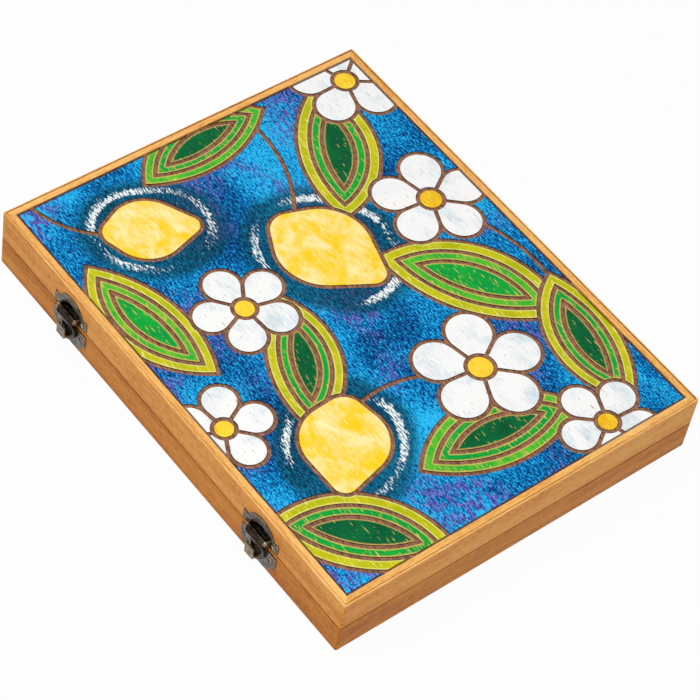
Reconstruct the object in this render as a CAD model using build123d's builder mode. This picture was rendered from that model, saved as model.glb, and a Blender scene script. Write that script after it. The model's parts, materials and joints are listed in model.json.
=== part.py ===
from build123d import *
import os
from dataclasses import dataclass
from itertools import pairwise
from math import acos, cos, pi, sin

# A travel backgammon case: two shallow wooden trays, hinged at the back, that shut face to face.
# Lengths are millimetres. X runs along the long side, the latches face -Y, the hinges are at +Y,
# and the origin is the middle of the underside.

os.makedirs("parts", exist_ok=True)

# Case
case_length = 300.0
case_width = 238.0
half_height = 20.0
parting_gap = 0.3
corner_over_arris = 0.2

# Walls and their outer lip
wall_thickness = 9.0
lip_width = 5.0
base_arris = 0.8
lid_arris = 1.0
rim_arris = 0.5
lip_crown = 0.3
groove_from_arris = 0.15
groove_width = 0.4
groove_depth = 0.45
crown_top = 0.02

# Outer panels and field boards
panel_thickness = 3.0
panel_fit = 0.1
panel_recess = 0.8
board_thickness = 2.0
board_fit = 0.1

# Playing field and rack
rack_play = 2.0
divider_thickness = 5.0
divider_arris = 0.8
points_per_side = 6
centre_strip = 52.0
point_gap = 1.2
point_margin = 3.0
inlay_thickness = 0.6

# Checkers and dice
checkers_per_player = 15
checker_head_room = 2.9
checker_arris = 1.0
checker_gap = 0.1
checker_rim = 3.8
dish_depth = 0.6
dish_slope = 0.7
boss_radius = 4.6
boss_drop = 0.25
loose_gap = 0.3
die_size = 12.0
die_arris = 1.1
dice_gap = 2.0
dice_play = 6.2
pip_radius = 1.1
pip_depth = 0.5
pip_from_edge = 2.9

# Fits
fixed_clearance = 0.02
running_clearance = 0.05
metal_gap = 0.3
overcut = 1.0

# Hinges
hinge_from_corner = 55.0
hinge_length = 25.0
knuckle_count = 3
knuckle_gap = 0.2
knuckle_radius = 2.0
hinge_stand_off = 0.2
hinge_pin_radius = 0.9
leaf_thickness = 1.0
leaf_setback = 2.0
screw_from_leaf_end = 4.5
screw_from_leaf_edge = 3.0
screw_length = 9.0
screw_radius = 0.9
screw_head_radius = 1.7
screw_slot = 0.5
screw_slot_depth = 0.3
screw_sink = 0.05

# Latches, with heights measured up from the parting line and reaches out from the front face
latch_from_corner = 66.0
plate_thickness = 0.8
plate_chamfer = 0.2
plate_half_width = 14.4
plate_low = 1.8
arch_centre = 4.0
arch_radius = 11.4
ear_top = 8.8
ear_notch = 7.7
moon_radius = 6.4
moon_above_pivot = 0.1
moon_pocket_depth = 2.2
pivot_height = 4.5
barrel_radius = 1.6
barrel_gap = 0.2
latch_pin_radius = 0.7
lug_radius = 1.5
lug_thickness = 0.8
lug_side_gap = 0.25
pin_end_proud = 0.25

lever_half_width = 7.2
lever_sheet = 0.9
lever_edge_round = 0.7
dome_rise = 0.7
dome_height = 1.2
lip_fall = 0.3
waist_fall = 1.6
waist_height = -9.6
tip_fall = 0.6
tip_height = -15.3
shoulder_height = -4.5
flank_taper = 1.9
flank_height = -11.8
window_high = -1.3
window_side_gap = 0.55
window_foot_gap = 0.9
window_head_gap = 1.5

keeper_top = -3.0
keeper_side_low = -11.0
keeper_foot = -18.0
keeper_corner = 4.5
keeper_taper = 6.4
hook_half_width = 3.2
hook_sheet = 1.0
hook_low = -11.1
hook_proud = 1.5
hook_bend = 0.8

# Latch nails
nail_radius = 0.6
nail_length = 7.0
nail_head_radius = 1.25
nail_head_height = 0.7
nail_from_side = 4.2
nail_above_plate_low = 1.8
nail_below_keeper_top = 4.5

# Carving of the lid panel: a branch with leaves, fruit and blossoms, each at its own place and turn
carving_depth = 0.7
carving_line = 2.4
twig_width = 2.6
leaf_rim = 0.115
leaf_band = 0.105
fruit_tip_reach = 1.12
fruit_tip_radius = 0.3
fruit_tail_reach = 0.72
fruit_tail_radius = 0.46
petal_count = 5
petal_root_reach = 0.13
blossom_eye = 0.095

# x, y and turn of each leaf's middle, its length, width and bend
leaves = [
    (24.0, 66.0, 36.0, 104.0, 46.0, 5.0),
    (-94.0, 60.0, 152.0, 98.0, 44.0, -5.0),
    (110.5, 14.0, 84.0, 96.0, 42.0, 4.0),
    (16.0, -46.0, -26.0, 88.0, 38.0, 4.0),
    (-48.0, -94.0, 10.0, 94.0, 38.0, -4.0),
    (122.0, -86.0, 48.0, 96.0, 44.0, 4.0),
    (-133.0, 2.0, 98.0, 88.0, 38.0, 4.0),
    (86.0, 98.0, -12.0, 92.0, 38.0, -4.0),
]
# x, y and turn of each fruit's middle, and its radius
fruits = [
    (-40.0, 14.0, 22.0, 27.0),
    (69.0, -56.0, -38.0, 23.5),
    (-100.0, -60.0, 66.0, 20.5),
]
# x, y and turn of each blossom's middle, and its width
blossoms = [
    (70.0, 34.0, 12.0, 72.0),
    (-28.0, -48.0, 40.0, 58.0),
    (-36.0, 86.0, 85.0, 66.0),
    (-132.0, 100.0, 20.0, 64.0),
    (134.0, 68.0, 50.0, 56.0),
    (30.0, -104.0, 8.0, 54.0),
]
# The two ends of each twig, and how far its middle rises to the left of the way between them
twigs = [
    (-58.0, 6.0, -136.0, 34.0, -10.0),
    (56.0, -40.0, 60.0, 8.0, 5.0),
    (-106.0, -76.0, -146.0, -104.0, 6.0),
    (48.0, 105.0, -10.0, 98.0, -5.0),
]

# Worked out from the sizes above
case_height = 2.0 * half_height
half_case_length = case_length / 2.0
half_case_width = case_width / 2.0
corner_radius = lid_arris + corner_over_arris
rim_depth = half_height - parting_gap / 2.0
inner_length = case_length - 2.0 * wall_thickness
inner_width = case_width - 2.0 * wall_thickness
hinge_offset = half_case_length - hinge_from_corner
latch_offset = half_case_length - latch_from_corner
hinge_axis_y = half_case_width + hinge_stand_off + knuckle_radius
knuckle_length = (hinge_length - (knuckle_count - 1) * knuckle_gap) / knuckle_count
leaf_depth = wall_thickness - leaf_setback
screw_offset = hinge_length / 2.0 - screw_from_leaf_end
screw_y = half_case_width - leaf_depth + screw_from_leaf_edge
nail_offset = plate_half_width - nail_from_side
plate_nail_height = plate_low + nail_above_plate_low
keeper_nail_height = keeper_top - nail_below_keeper_top


@dataclass(frozen=True)
class Half:
    """One tray: where its outside face lies and which way its inside is."""

    name: str
    outer_z: float
    inward: int
    recess: float

    def z(self, depth):
        """Height of a level that lies this deep below the outside face."""
        return self.outer_z + self.inward * depth

    def layer(self, depth, thickness):
        """Plane at the lower side of a layer that starts this deep and is this thick."""
        return Plane.XY.offset(min(self.z(depth), self.z(depth + thickness)))

    @property
    def panel_depth(self):
        """Depth of the ledge that the outer panel lies on."""
        return self.recess + panel_thickness

    @property
    def floor_depth(self):
        """Depth of the playing surface."""
        return self.panel_depth + board_thickness


base = Half("base", 0.0, 1, 0.0)
lid = Half("lid", case_height, -1, panel_recess)
halves = (base, lid)

# Each side of the case by its name: the way from its outside face to the middle, and its length
sides = {
    "front": (Vector(0, 1, 0), case_length, half_case_width),
    "back": (Vector(0, -1, 0), case_length, half_case_width),
    "left": (Vector(1, 0, 0), case_width, half_case_length),
    "right": (Vector(-1, 0, 0), case_width, half_case_length),
}
latch_sides = {"left": -latch_offset, "right": latch_offset}
hinge_sides = {"left": -hinge_offset, "right": hinge_offset}


def keep(piece, name):
    """Label a finished piece and write it to a file of its own."""
    piece.part.label = name
    export_step(piece.part, f"parts/{name}.step")


# Planes and places that more than one piece uses


def front_plane(x, height):
    """Plane on the front face with its normal out of the case, this far above the parting line."""
    return Plane(origin=(x, -half_case_width, half_height + height), x_dir=(1, 0, 0), z_dir=(0, -1, 0))


def rim_plane(half, x, y):
    """Plane on a tray's rim with its normal out of the wood."""
    return Plane(origin=(x, y, half.z(rim_depth)), x_dir=(1, 0, 0), z_dir=(0, 0, half.inward))


def latch_section(latch_x):
    """Plane through the middle of a latch: local x points out of the case and y up."""
    return Plane(origin=(latch_x, -half_case_width, half_height), x_dir=(0, -1, 0), z_dir=(-1, 0, 0))


def nail_spots(height):
    """Places of a pair of nails at each latch."""
    return [(x + sign * nail_offset, height) for x in latch_sides.values() for sign in (-1, 1)]


hinge_screw_spots = [(x + sign * screw_offset, screw_y) for x in hinge_sides.values() for sign in (-1, 1)]


# Walls


def lip_cut(half):
    """Section of what is cut from the inside of a wall: the panel's rabbet, and the lid's lip relief."""
    beyond = wall_thickness + overcut
    groove_start = lid_arris + groove_from_arris
    groove_end = groove_start + groove_width
    with BuildSketch() as section:
        with BuildLine():
            if half is lid:
                Polyline(
                    (groove_start, -overcut),
                    (groove_start, 0),
                    ((groove_start + groove_end) / 2.0, groove_depth),
                    (groove_end, lip_crown),
                )
                ThreePointArc(
                    (groove_end, lip_crown),
                    ((lip_width + groove_end) / 2.0, crown_top),
                    (lip_width, lip_crown),
                )
                Line((lip_width, lip_crown), (lip_width, half.panel_depth))
                Line((groove_start, -overcut), (lip_width, -overcut))
            else:
                Line((lip_width, -overcut), (lip_width, half.panel_depth))
            Polyline(
                (lip_width, half.panel_depth),
                (beyond, half.panel_depth),
                (beyond, -overcut),
                (lip_width, -overcut),
            )
        make_face()
    return section.sketch


def wall_footprint(inward, length, reach):
    """Plan of a wall: a trapezoid with mitred ends and rounded outer corners."""
    along = Vector(0, 0, 1).cross(inward)
    round_off = corner_radius * (1.0 - 0.5**0.5)

    def spot(from_end, depth, end):
        """Point this far in from one end of the wall and from its outside face."""
        return along * (end * (length / 2.0 - from_end)) - inward * (reach - depth)

    with BuildSketch() as footprint:
        with BuildLine():
            Line(spot(corner_radius, 0, -1), spot(corner_radius, 0, 1))
            Line(spot(wall_thickness, wall_thickness, -1), spot(wall_thickness, wall_thickness, 1))
            for end in (-1, 1):
                ThreePointArc(
                    spot(corner_radius, 0, end),
                    spot(corner_radius * (1.0 - sin(pi / 8.0)), corner_radius * (1.0 - cos(pi / 8.0)), end),
                    spot(round_off, round_off, end),
                )
                Line(spot(round_off, round_off, end), spot(wall_thickness, wall_thickness, end))
        make_face()
    return footprint.sketch


def hinge_seats(half):
    """Mortises and pilot holes that a back wall needs for its hinge leaves."""
    with BuildPart() as seats:
        for hinge_x in hinge_sides.values():
            with BuildSketch(rim_plane(half, hinge_x, half_case_width - leaf_depth / 2.0)):
                Rectangle(hinge_length + 2.0 * fixed_clearance, leaf_depth + 2.0 * fixed_clearance)
            extrude(amount=-leaf_thickness)
        for spot_x, spot_y in hinge_screw_spots:
            with BuildSketch(rim_plane(half, spot_x, spot_y)):
                Circle(screw_radius + fixed_clearance)
            extrude(amount=-(screw_length + metal_gap))
    return seats.part


def latch_seats(nail_height, pocket_spots):
    """Pilot holes that a front wall needs for its latch nails, and the lid's pockets behind the moons."""
    with BuildPart() as seats:
        for nail_x, height in nail_spots(nail_height):
            with BuildSketch(front_plane(nail_x, height)):
                Circle(nail_radius + fixed_clearance)
            extrude(amount=plate_thickness - nail_length - metal_gap)
        for latch_x in pocket_spots:
            with BuildSketch(front_plane(latch_x, 0)):
                add(moon)
            extrude(amount=-moon_pocket_depth)
    return seats.part


with BuildSketch() as moon_builder:
    moon_low = pivot_height + moon_above_pivot
    with BuildLine():
        Line((-moon_radius, moon_low), (moon_radius, moon_low))
        ThreePointArc((moon_radius, moon_low), (0, moon_low + moon_radius), (-moon_radius, moon_low))
    make_face()
moon = moon_builder.sketch

seats = {
    ("base", "back"): hinge_seats(base),
    ("lid", "back"): hinge_seats(lid),
    ("base", "front"): latch_seats(keeper_nail_height, []),
    ("lid", "front"): latch_seats(plate_nail_height, latch_sides.values()),
}

outside_arris = {"base": min(base_arris, lid_arris), "lid": lid_arris}

for half in halves:
    cut_shape = lip_cut(half)
    for side, (inward, length, reach) in sides.items():
        footprint = wall_footprint(inward, length, reach)
        section_plane = Plane(
            origin=Vector(0, 0, half.outer_z) - inward * reach,
            x_dir=inward,
            z_dir=inward.cross(Vector(0, 0, half.inward)),
        )
        with BuildPart() as wall:
            with BuildSketch(half.layer(0, rim_depth)):
                add(footprint)
            extrude(amount=rim_depth)
            for arris, upper in ((rim_arris, half is base), (outside_arris[half.name], half is lid)):
                near_face = [e for e in wall.edges() if -e.center().dot(inward) > reach - corner_radius]
                fillet(ShapeList(near_face).group_by(Axis.Z)[-1 if upper else 0], arris)
            with BuildSketch(section_plane):
                add(cut_shape)
            extrude(amount=length, both=True, mode=Mode.SUBTRACT)
            if (half.name, side) in seats:
                add(seats[half.name, side], mode=Mode.SUBTRACT)
        keep(wall, f"{half.name}_{side}_wall")


# Carving of the lid panel, each motif drawn round its own middle and then moved to its spot


def leaf_outline(length, width, bend, inset):
    """Pointed leaf between two arcs, drawn in by an inset, or out where that is below zero."""
    rise = width / 2.0 + bend
    fall = width / 2.0 - bend
    upper = (length**2 / 4.0 + rise**2) / (2.0 * rise)
    lower = (length**2 / 4.0 + fall**2) / (2.0 * fall)
    with BuildSketch() as outline:
        with Locations((0, rise - upper)):
            Circle(upper - inset)
        with Locations((0, lower - fall)):
            Circle(lower - inset, mode=Mode.INTERSECT)
    return outline.sketch


def round_outline(discs, grow):
    """Outline stretched round discs in a row along X, each a place and a radius, drawn out all round."""
    turns = [pi] + [acos((r0 - r1) / (x1 - x0)) for (x0, r0), (x1, r1) in pairwise(discs)] + [0.0]
    arcs = []
    for (x, radius), start, end in zip(discs, turns, turns[1:]):
        reach = radius + grow
        arcs.append([(x + reach * cos(a), reach * sin(a)) for a in (start, (start + end) / 2.0, end)])
    with BuildSketch() as outline:
        with BuildLine():
            for arc in arcs:
                ThreePointArc(*arc)
            for before, after in pairwise(arcs):
                Line(before[-1], after[0])
            mirror(about=Plane.XZ)
        make_face()
    return outline.sketch


def fruit_outline(radius, grow):
    """Round fruit with a drawn-out tip and a blunt tail."""
    discs = [
        (-fruit_tail_reach * radius, fruit_tail_radius * radius),
        (0, radius),
        (fruit_tip_reach * radius, fruit_tip_radius * radius),
    ]
    return round_outline(discs, grow)


def petal_outline(across, grow):
    """Petal that fills its share of a blossom but for half a carved line on each side."""
    wedge = sin(pi / petal_count)
    tip_reach = (across / 2.0 + carving_line / 2.0) / (1.0 + wedge)
    root_reach = petal_root_reach * across
    discs = [(reach, reach * wedge - carving_line / 2.0) for reach in (root_reach, tip_reach)]
    return round_outline(discs, grow)


with BuildSketch() as carving:
    for start_x, start_y, end_x, end_y, rise in twigs:
        start, end = Vector(start_x, start_y), Vector(end_x, end_y)
        middle = (start + end) / 2.0 + (end - start).normalized().rotate(Axis.Z, 90) * rise
        with BuildLine():
            twig = ThreePointArc(start, middle, end)
        trace(twig, line_width=twig_width)
    for x, y, turn, length, width, bend in leaves:
        rim = leaf_rim * width
        band = rim + carving_line + leaf_band * width
        insets = [-carving_line, 0, rim, rim + carving_line, band, band + carving_line]
        with Locations(Location((x, y), turn)):
            for i, inset in enumerate(insets):
                add(leaf_outline(length, width, bend, inset), mode=Mode.SUBTRACT if i % 2 else Mode.ADD)
    for x, y, turn, radius in fruits:
        with Locations(Location((x, y), turn)):
            add(fruit_outline(radius, carving_line))
            add(fruit_outline(radius, 0), mode=Mode.SUBTRACT)
    for x, y, turn, across in blossoms:
        with Locations(Location((x, y), turn)):
            with PolarLocations(0, petal_count):
                add(petal_outline(across, carving_line))
            with PolarLocations(0, petal_count):
                add(petal_outline(across, 0), mode=Mode.SUBTRACT)
            Circle(blossom_eye * across + carving_line)
            Circle(blossom_eye * across, mode=Mode.SUBTRACT)


# Outer panels

panel_inset = lip_width + panel_fit

for half, name in ((base, "base_bottom_panel"), (lid, "lid_picture_panel")):
    with BuildPart() as panel:
        with BuildSketch(half.layer(half.recess, panel_thickness)):
            Rectangle(case_length - 2.0 * panel_inset, case_width - 2.0 * panel_inset)
        extrude(amount=panel_thickness)
        if half is lid:
            with BuildSketch(Plane.XY.offset(lid.z(lid.recess))):
                add(carving.sketch)
            extrude(amount=-carving_depth, mode=Mode.SUBTRACT)
    keep(panel, name)


# Playing field: the rack lies along the front, and the points stand on the two short sides

checker_radius = (lid.z(lid.floor_depth) - base.z(base.floor_depth) - loose_gap - checker_head_room) / 2.0
rack_low_y = -inner_width / 2.0
rack_high_y = rack_low_y + 2.0 * checker_radius + rack_play
field_low_y = rack_high_y + divider_thickness
field_high_y = inner_width / 2.0
point_pitch = (field_high_y - field_low_y) / points_per_side


def point_places(half, dark):
    """Corner points of every triangle of one colour in a tray."""
    triangles = []
    for index in range(points_per_side):
        middle_y = field_low_y + (index + 0.5) * point_pitch
        run = index if half is base else 2 * points_per_side - 1 - index
        for end in (-1, 1):
            if ((run + (end > 0)) % 2 == 0) != dark:
                continue
            base_x = end * (inner_length / 2.0 - point_margin)
            low_y = middle_y - (point_pitch - point_gap) / 2.0
            high_y = middle_y + (point_pitch - point_gap) / 2.0
            triangles.append([(base_x, low_y), (base_x, high_y), (end * centre_strip / 2.0, middle_y)])
    return triangles


def points_sketch(half, dark):
    """The triangles of one colour in a tray, as one sketch."""
    with BuildSketch() as triangles:
        for corners in point_places(half, dark):
            with BuildLine():
                Polyline(*corners, close=True)
            make_face()
    return triangles.sketch


for half in halves:
    inlay_plane = half.layer(half.floor_depth - inlay_thickness, inlay_thickness)
    inlays = {tone: points_sketch(half, tone == "dark") for tone in ("light", "dark")}

    with BuildPart() as field_board:
        with BuildSketch(half.layer(half.panel_depth, board_thickness)):
            Rectangle(inner_length - 2.0 * board_fit, inner_width - 2.0 * board_fit)
        extrude(amount=board_thickness)
        for inlay in inlays.values():
            with BuildSketch(inlay_plane):
                add(inlay)
            extrude(amount=inlay_thickness, mode=Mode.SUBTRACT)
    keep(field_board, f"{half.name}_field_board")

    for tone, inlay in inlays.items():
        with BuildPart() as points:
            with BuildSketch(inlay_plane):
                add(inlay)
            extrude(amount=inlay_thickness)
        keep(points, f"{half.name}_points_{tone}")

    divider_height = rim_depth - half.floor_depth
    with BuildPart() as divider:
        with BuildSketch(half.layer(half.floor_depth, divider_height)):
            with Locations((0, (rack_high_y + field_low_y) / 2.0)):
                Rectangle(inner_length - 2.0 * board_fit, divider_thickness)
        extrude(amount=divider_height)
        rim_edges = divider.edges().filter_by(Axis.X).group_by(Axis.Z)[-1 if half is base else 0]
        fillet(rim_edges, divider_arris)
    keep(divider, f"{half.name}_rack_divider")


# Checkers, standing on edge in the base's rack

rack_middle_y = (rack_low_y + rack_high_y) / 2.0
rack_floor_z = base.z(base.floor_depth)
checker_z = rack_floor_z + loose_gap + checker_radius
dice_bay = 2.0 * die_size + dice_gap + 2.0 * dice_play
checker_pitch = (inner_length - 2.0 * loose_gap - dice_bay) / (2.0 * checkers_per_player)
half_checker = (checker_pitch - checker_gap) / 2.0
dish_radius = checker_radius - checker_rim

with BuildPart() as checker:
    with BuildSketch(Plane.XY):
        with BuildLine():
            Polyline(
                (0, 0),
                (half_checker - boss_drop, 0),
                (half_checker - boss_drop, boss_radius),
                (half_checker - dish_depth, boss_radius + dish_slope),
                (half_checker - dish_depth, dish_radius - dish_slope),
                (half_checker, dish_radius),
                (half_checker, checker_radius - checker_arris),
            )
            RadiusArc(
                (half_checker, checker_radius - checker_arris),
                (half_checker - checker_arris, checker_radius),
                -checker_arris,
            )
            Polyline((half_checker - checker_arris, checker_radius), (0, checker_radius), (0, 0))
        make_face()
        mirror(about=Plane.YZ)
    revolve(axis=Axis.X)

for end, tone in ((-1, "light"), (1, "dark")):
    outermost = inner_length / 2.0 - loose_gap - half_checker
    row = [end * (outermost - i * checker_pitch) for i in range(checkers_per_player)]
    with BuildPart() as checkers:
        with Locations(*[(x, rack_middle_y, checker_z) for x in row]):
            add(checker.part)
    keep(checkers, f"{tone}_checkers")


# Dice, lying in the middle of the rack

die_spacing = die_size + dice_gap
pip_pitch = die_size / 2.0 - pip_from_edge
pip_ball_radius = (pip_radius**2 + pip_depth**2) / (2.0 * pip_depth)
pip_corners = [(-1, -1), (1, 1), (-1, 1), (1, -1)]
pip_spots = {
    1: [(0, 0)],
    2: pip_corners[:2],
    3: [(0, 0)] + pip_corners[:2],
    4: pip_corners,
    5: [(0, 0)] + pip_corners,
    6: [(-1, 0), (1, 0)] + pip_corners,
}
# The number on each side of a die, opposite sides adding up to seven
die_facings = {
    "die_1": {(0, 0, 1): 5, (0, 0, -1): 2, (0, -1, 0): 4, (0, 1, 0): 3, (1, 0, 0): 1, (-1, 0, 0): 6},
    "die_2": {(0, 0, 1): 6, (0, 0, -1): 1, (0, -1, 0): 3, (0, 1, 0): 4, (1, 0, 0): 2, (-1, 0, 0): 5},
}

for name, end in (("die_1", -1), ("die_2", 1)):
    centre = Vector(end * die_spacing / 2.0, rack_middle_y, rack_floor_z + loose_gap + die_size / 2.0)
    with BuildPart() as die:
        with Locations(centre):
            Box(die_size, die_size, die_size)
        fillet(die.edges(), die_arris)
        for facing, number in die_facings[name].items():
            face_plane = Plane(origin=centre + Vector(facing) * (die_size / 2.0), z_dir=facing)
            ball_height = pip_ball_radius - pip_depth
            with Locations(face_plane):
                with Locations(*[(a * pip_pitch, b * pip_pitch, ball_height) for a, b in pip_spots[number]]):
                    Sphere(pip_ball_radius, mode=Mode.SUBTRACT)
    keep(die, name)


# Hinges, with their leaves let into the two rims

for side, hinge_x in hinge_sides.items():
    hinge_start = hinge_x - hinge_length / 2.0
    axis_end = Plane(origin=(hinge_start, hinge_axis_y, half_height), z_dir=(1, 0, 0))

    for half in halves:
        rim = rim_plane(half, hinge_x, half_case_width)
        reach = hinge_axis_y - half_case_width
        own_knuckles = [k for k in range(knuckle_count) if (k % 2 == 0) == (half is base)]
        bore_clearance = fixed_clearance if half is base else running_clearance
        with BuildPart() as leaf:
            with BuildSketch(rim):
                with Locations((0, -half.inward * leaf_depth / 2.0)):
                    Rectangle(hinge_length, leaf_depth)
                for k in own_knuckles:
                    knuckle_x = (k - (knuckle_count - 1) / 2.0) * (knuckle_length + knuckle_gap)
                    with Locations((knuckle_x, half.inward * reach / 2.0)):
                        Rectangle(knuckle_length, reach)
            extrude(amount=-leaf_thickness)
            for k in own_knuckles:
                with BuildSketch(axis_end.offset(k * (knuckle_length + knuckle_gap))):
                    Circle(knuckle_radius)
                extrude(amount=knuckle_length)
            with BuildSketch(axis_end):
                Circle(hinge_pin_radius + bore_clearance)
            extrude(amount=hinge_length, mode=Mode.SUBTRACT)
            with Locations(*[rim_plane(half, hinge_x + sign * screw_offset, screw_y) for sign in (-1, 1)]):
                CounterSinkHole(
                    radius=screw_radius + fixed_clearance,
                    counter_sink_radius=screw_head_radius + screw_sink + fixed_clearance,
                    depth=leaf_thickness,
                    counter_sink_angle=90,
                )
        keep(leaf, f"hinge_{side}_{half.name}_leaf")

    with BuildPart() as hinge_pin:
        with BuildSketch(axis_end.offset(-pin_end_proud)):
            Circle(hinge_pin_radius)
        extrude(amount=hinge_length + 2.0 * pin_end_proud)
        fillet(hinge_pin.edges().filter_by(GeomType.CIRCLE), pin_end_proud)
    keep(hinge_pin, f"hinge_{side}_pin")

head_height = screw_head_radius - screw_radius

with BuildPart() as screw:
    with BuildSketch(Plane.XZ):
        with BuildLine():
            Polyline(
                (0, -screw_sink),
                (screw_head_radius, -screw_sink),
                (screw_radius, -screw_sink - head_height),
                (screw_radius, screw_radius - screw_length),
                (0, -screw_length),
                close=True,
            )
        make_face()
    revolve(axis=Axis.Z)
    with BuildSketch(Plane.XY.offset(-screw_sink)):
        Rectangle(2.0 * screw_head_radius, screw_slot)
    extrude(amount=-screw_slot_depth, mode=Mode.SUBTRACT)

for half in halves:
    with BuildPart() as screws:
        with Locations(*[rim_plane(half, x, y) for x, y in hinge_screw_spots]):
            add(screw.part)
    keep(screws, f"hinge_{half.name}_screws")


# Latches

pivot_out = plate_thickness + barrel_gap + barrel_radius
barrel_front = pivot_out + barrel_radius
lever_back = plate_thickness + metal_gap
lug_start = lever_half_width + lug_side_gap
window_low = hook_low - window_foot_gap
window_half_width = hook_half_width + window_side_gap
hook_top = window_high - window_head_gap
hook_out = barrel_front + hook_proud + hook_sheet


def arch_outline():
    """Outline of the upper plate: an arch between two pointed ears."""
    notch_x = (arch_radius**2 - (ear_notch - arch_centre) ** 2) ** 0.5
    with BuildSketch() as outline:
        with BuildLine():
            Polyline(
                (-notch_x, ear_notch),
                (-plate_half_width, ear_top),
                (-plate_half_width, plate_low),
                (plate_half_width, plate_low),
                (plate_half_width, ear_top),
                (notch_x, ear_notch),
            )
            ThreePointArc((notch_x, ear_notch), (0, arch_centre + arch_radius), (-notch_x, ear_notch))
        make_face()
    return outline.sketch


def keeper_outline():
    """Outline of the lower plate: straight sides that taper to a narrow foot by rounded corners."""
    keeper_foot_half_width = plate_half_width - keeper_taper
    with BuildSketch() as outline:
        with BuildLine():
            Polyline(
                (-plate_half_width, keeper_top),
                (-plate_half_width, keeper_side_low),
                (-keeper_foot_half_width, keeper_foot),
                (keeper_foot_half_width, keeper_foot),
                (plate_half_width, keeper_side_low),
                (plate_half_width, keeper_top),
                close=True,
            )
        make_face()
        fillet(outline.vertices().sort_by(Axis.Y)[:4], keeper_corner)
    return outline.sketch


def shield_outline(inset):
    """Outline of the lever: straight flanks that close to a point, drawn in by an inset."""
    with BuildSketch() as outline:
        with BuildLine():
            Polyline((0, pivot_height), (lever_half_width, pivot_height), (lever_half_width, shoulder_height))
            ThreePointArc(
                (lever_half_width, shoulder_height),
                (lever_half_width - flank_taper, flank_height),
                (0, tip_height),
            )
            mirror(about=Plane.YZ)
        make_face()
        if inset > 0:
            offset(amount=-inset, kind=Kind.INTERSECTION, mode=Mode.REPLACE)
    return outline.sketch


def lever_section(inset):
    """Side view of the lever's dome, or with an inset, of the hollow behind its sheet."""
    front = barrel_front - inset
    crest = [
        (front, pivot_height),
        (front + dome_rise, dome_height),
        (front - lip_fall, window_high),
        (front - waist_fall, waist_height),
        (front - tip_fall, tip_height),
    ]
    with BuildSketch() as side_view:
        with BuildLine():
            Spline(*crest)
            Polyline(crest[-1], (lever_back, tip_height), (lever_back, pivot_height), crest[0])
        make_face()
    return side_view.sketch


plate_shape = arch_outline()
keeper_shape = keeper_outline()
lever_shape = shield_outline(0)
hollow_shape = shield_outline(lever_sheet)
lever_side = lever_section(0)
hollow_side = lever_section(lever_sheet)

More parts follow.
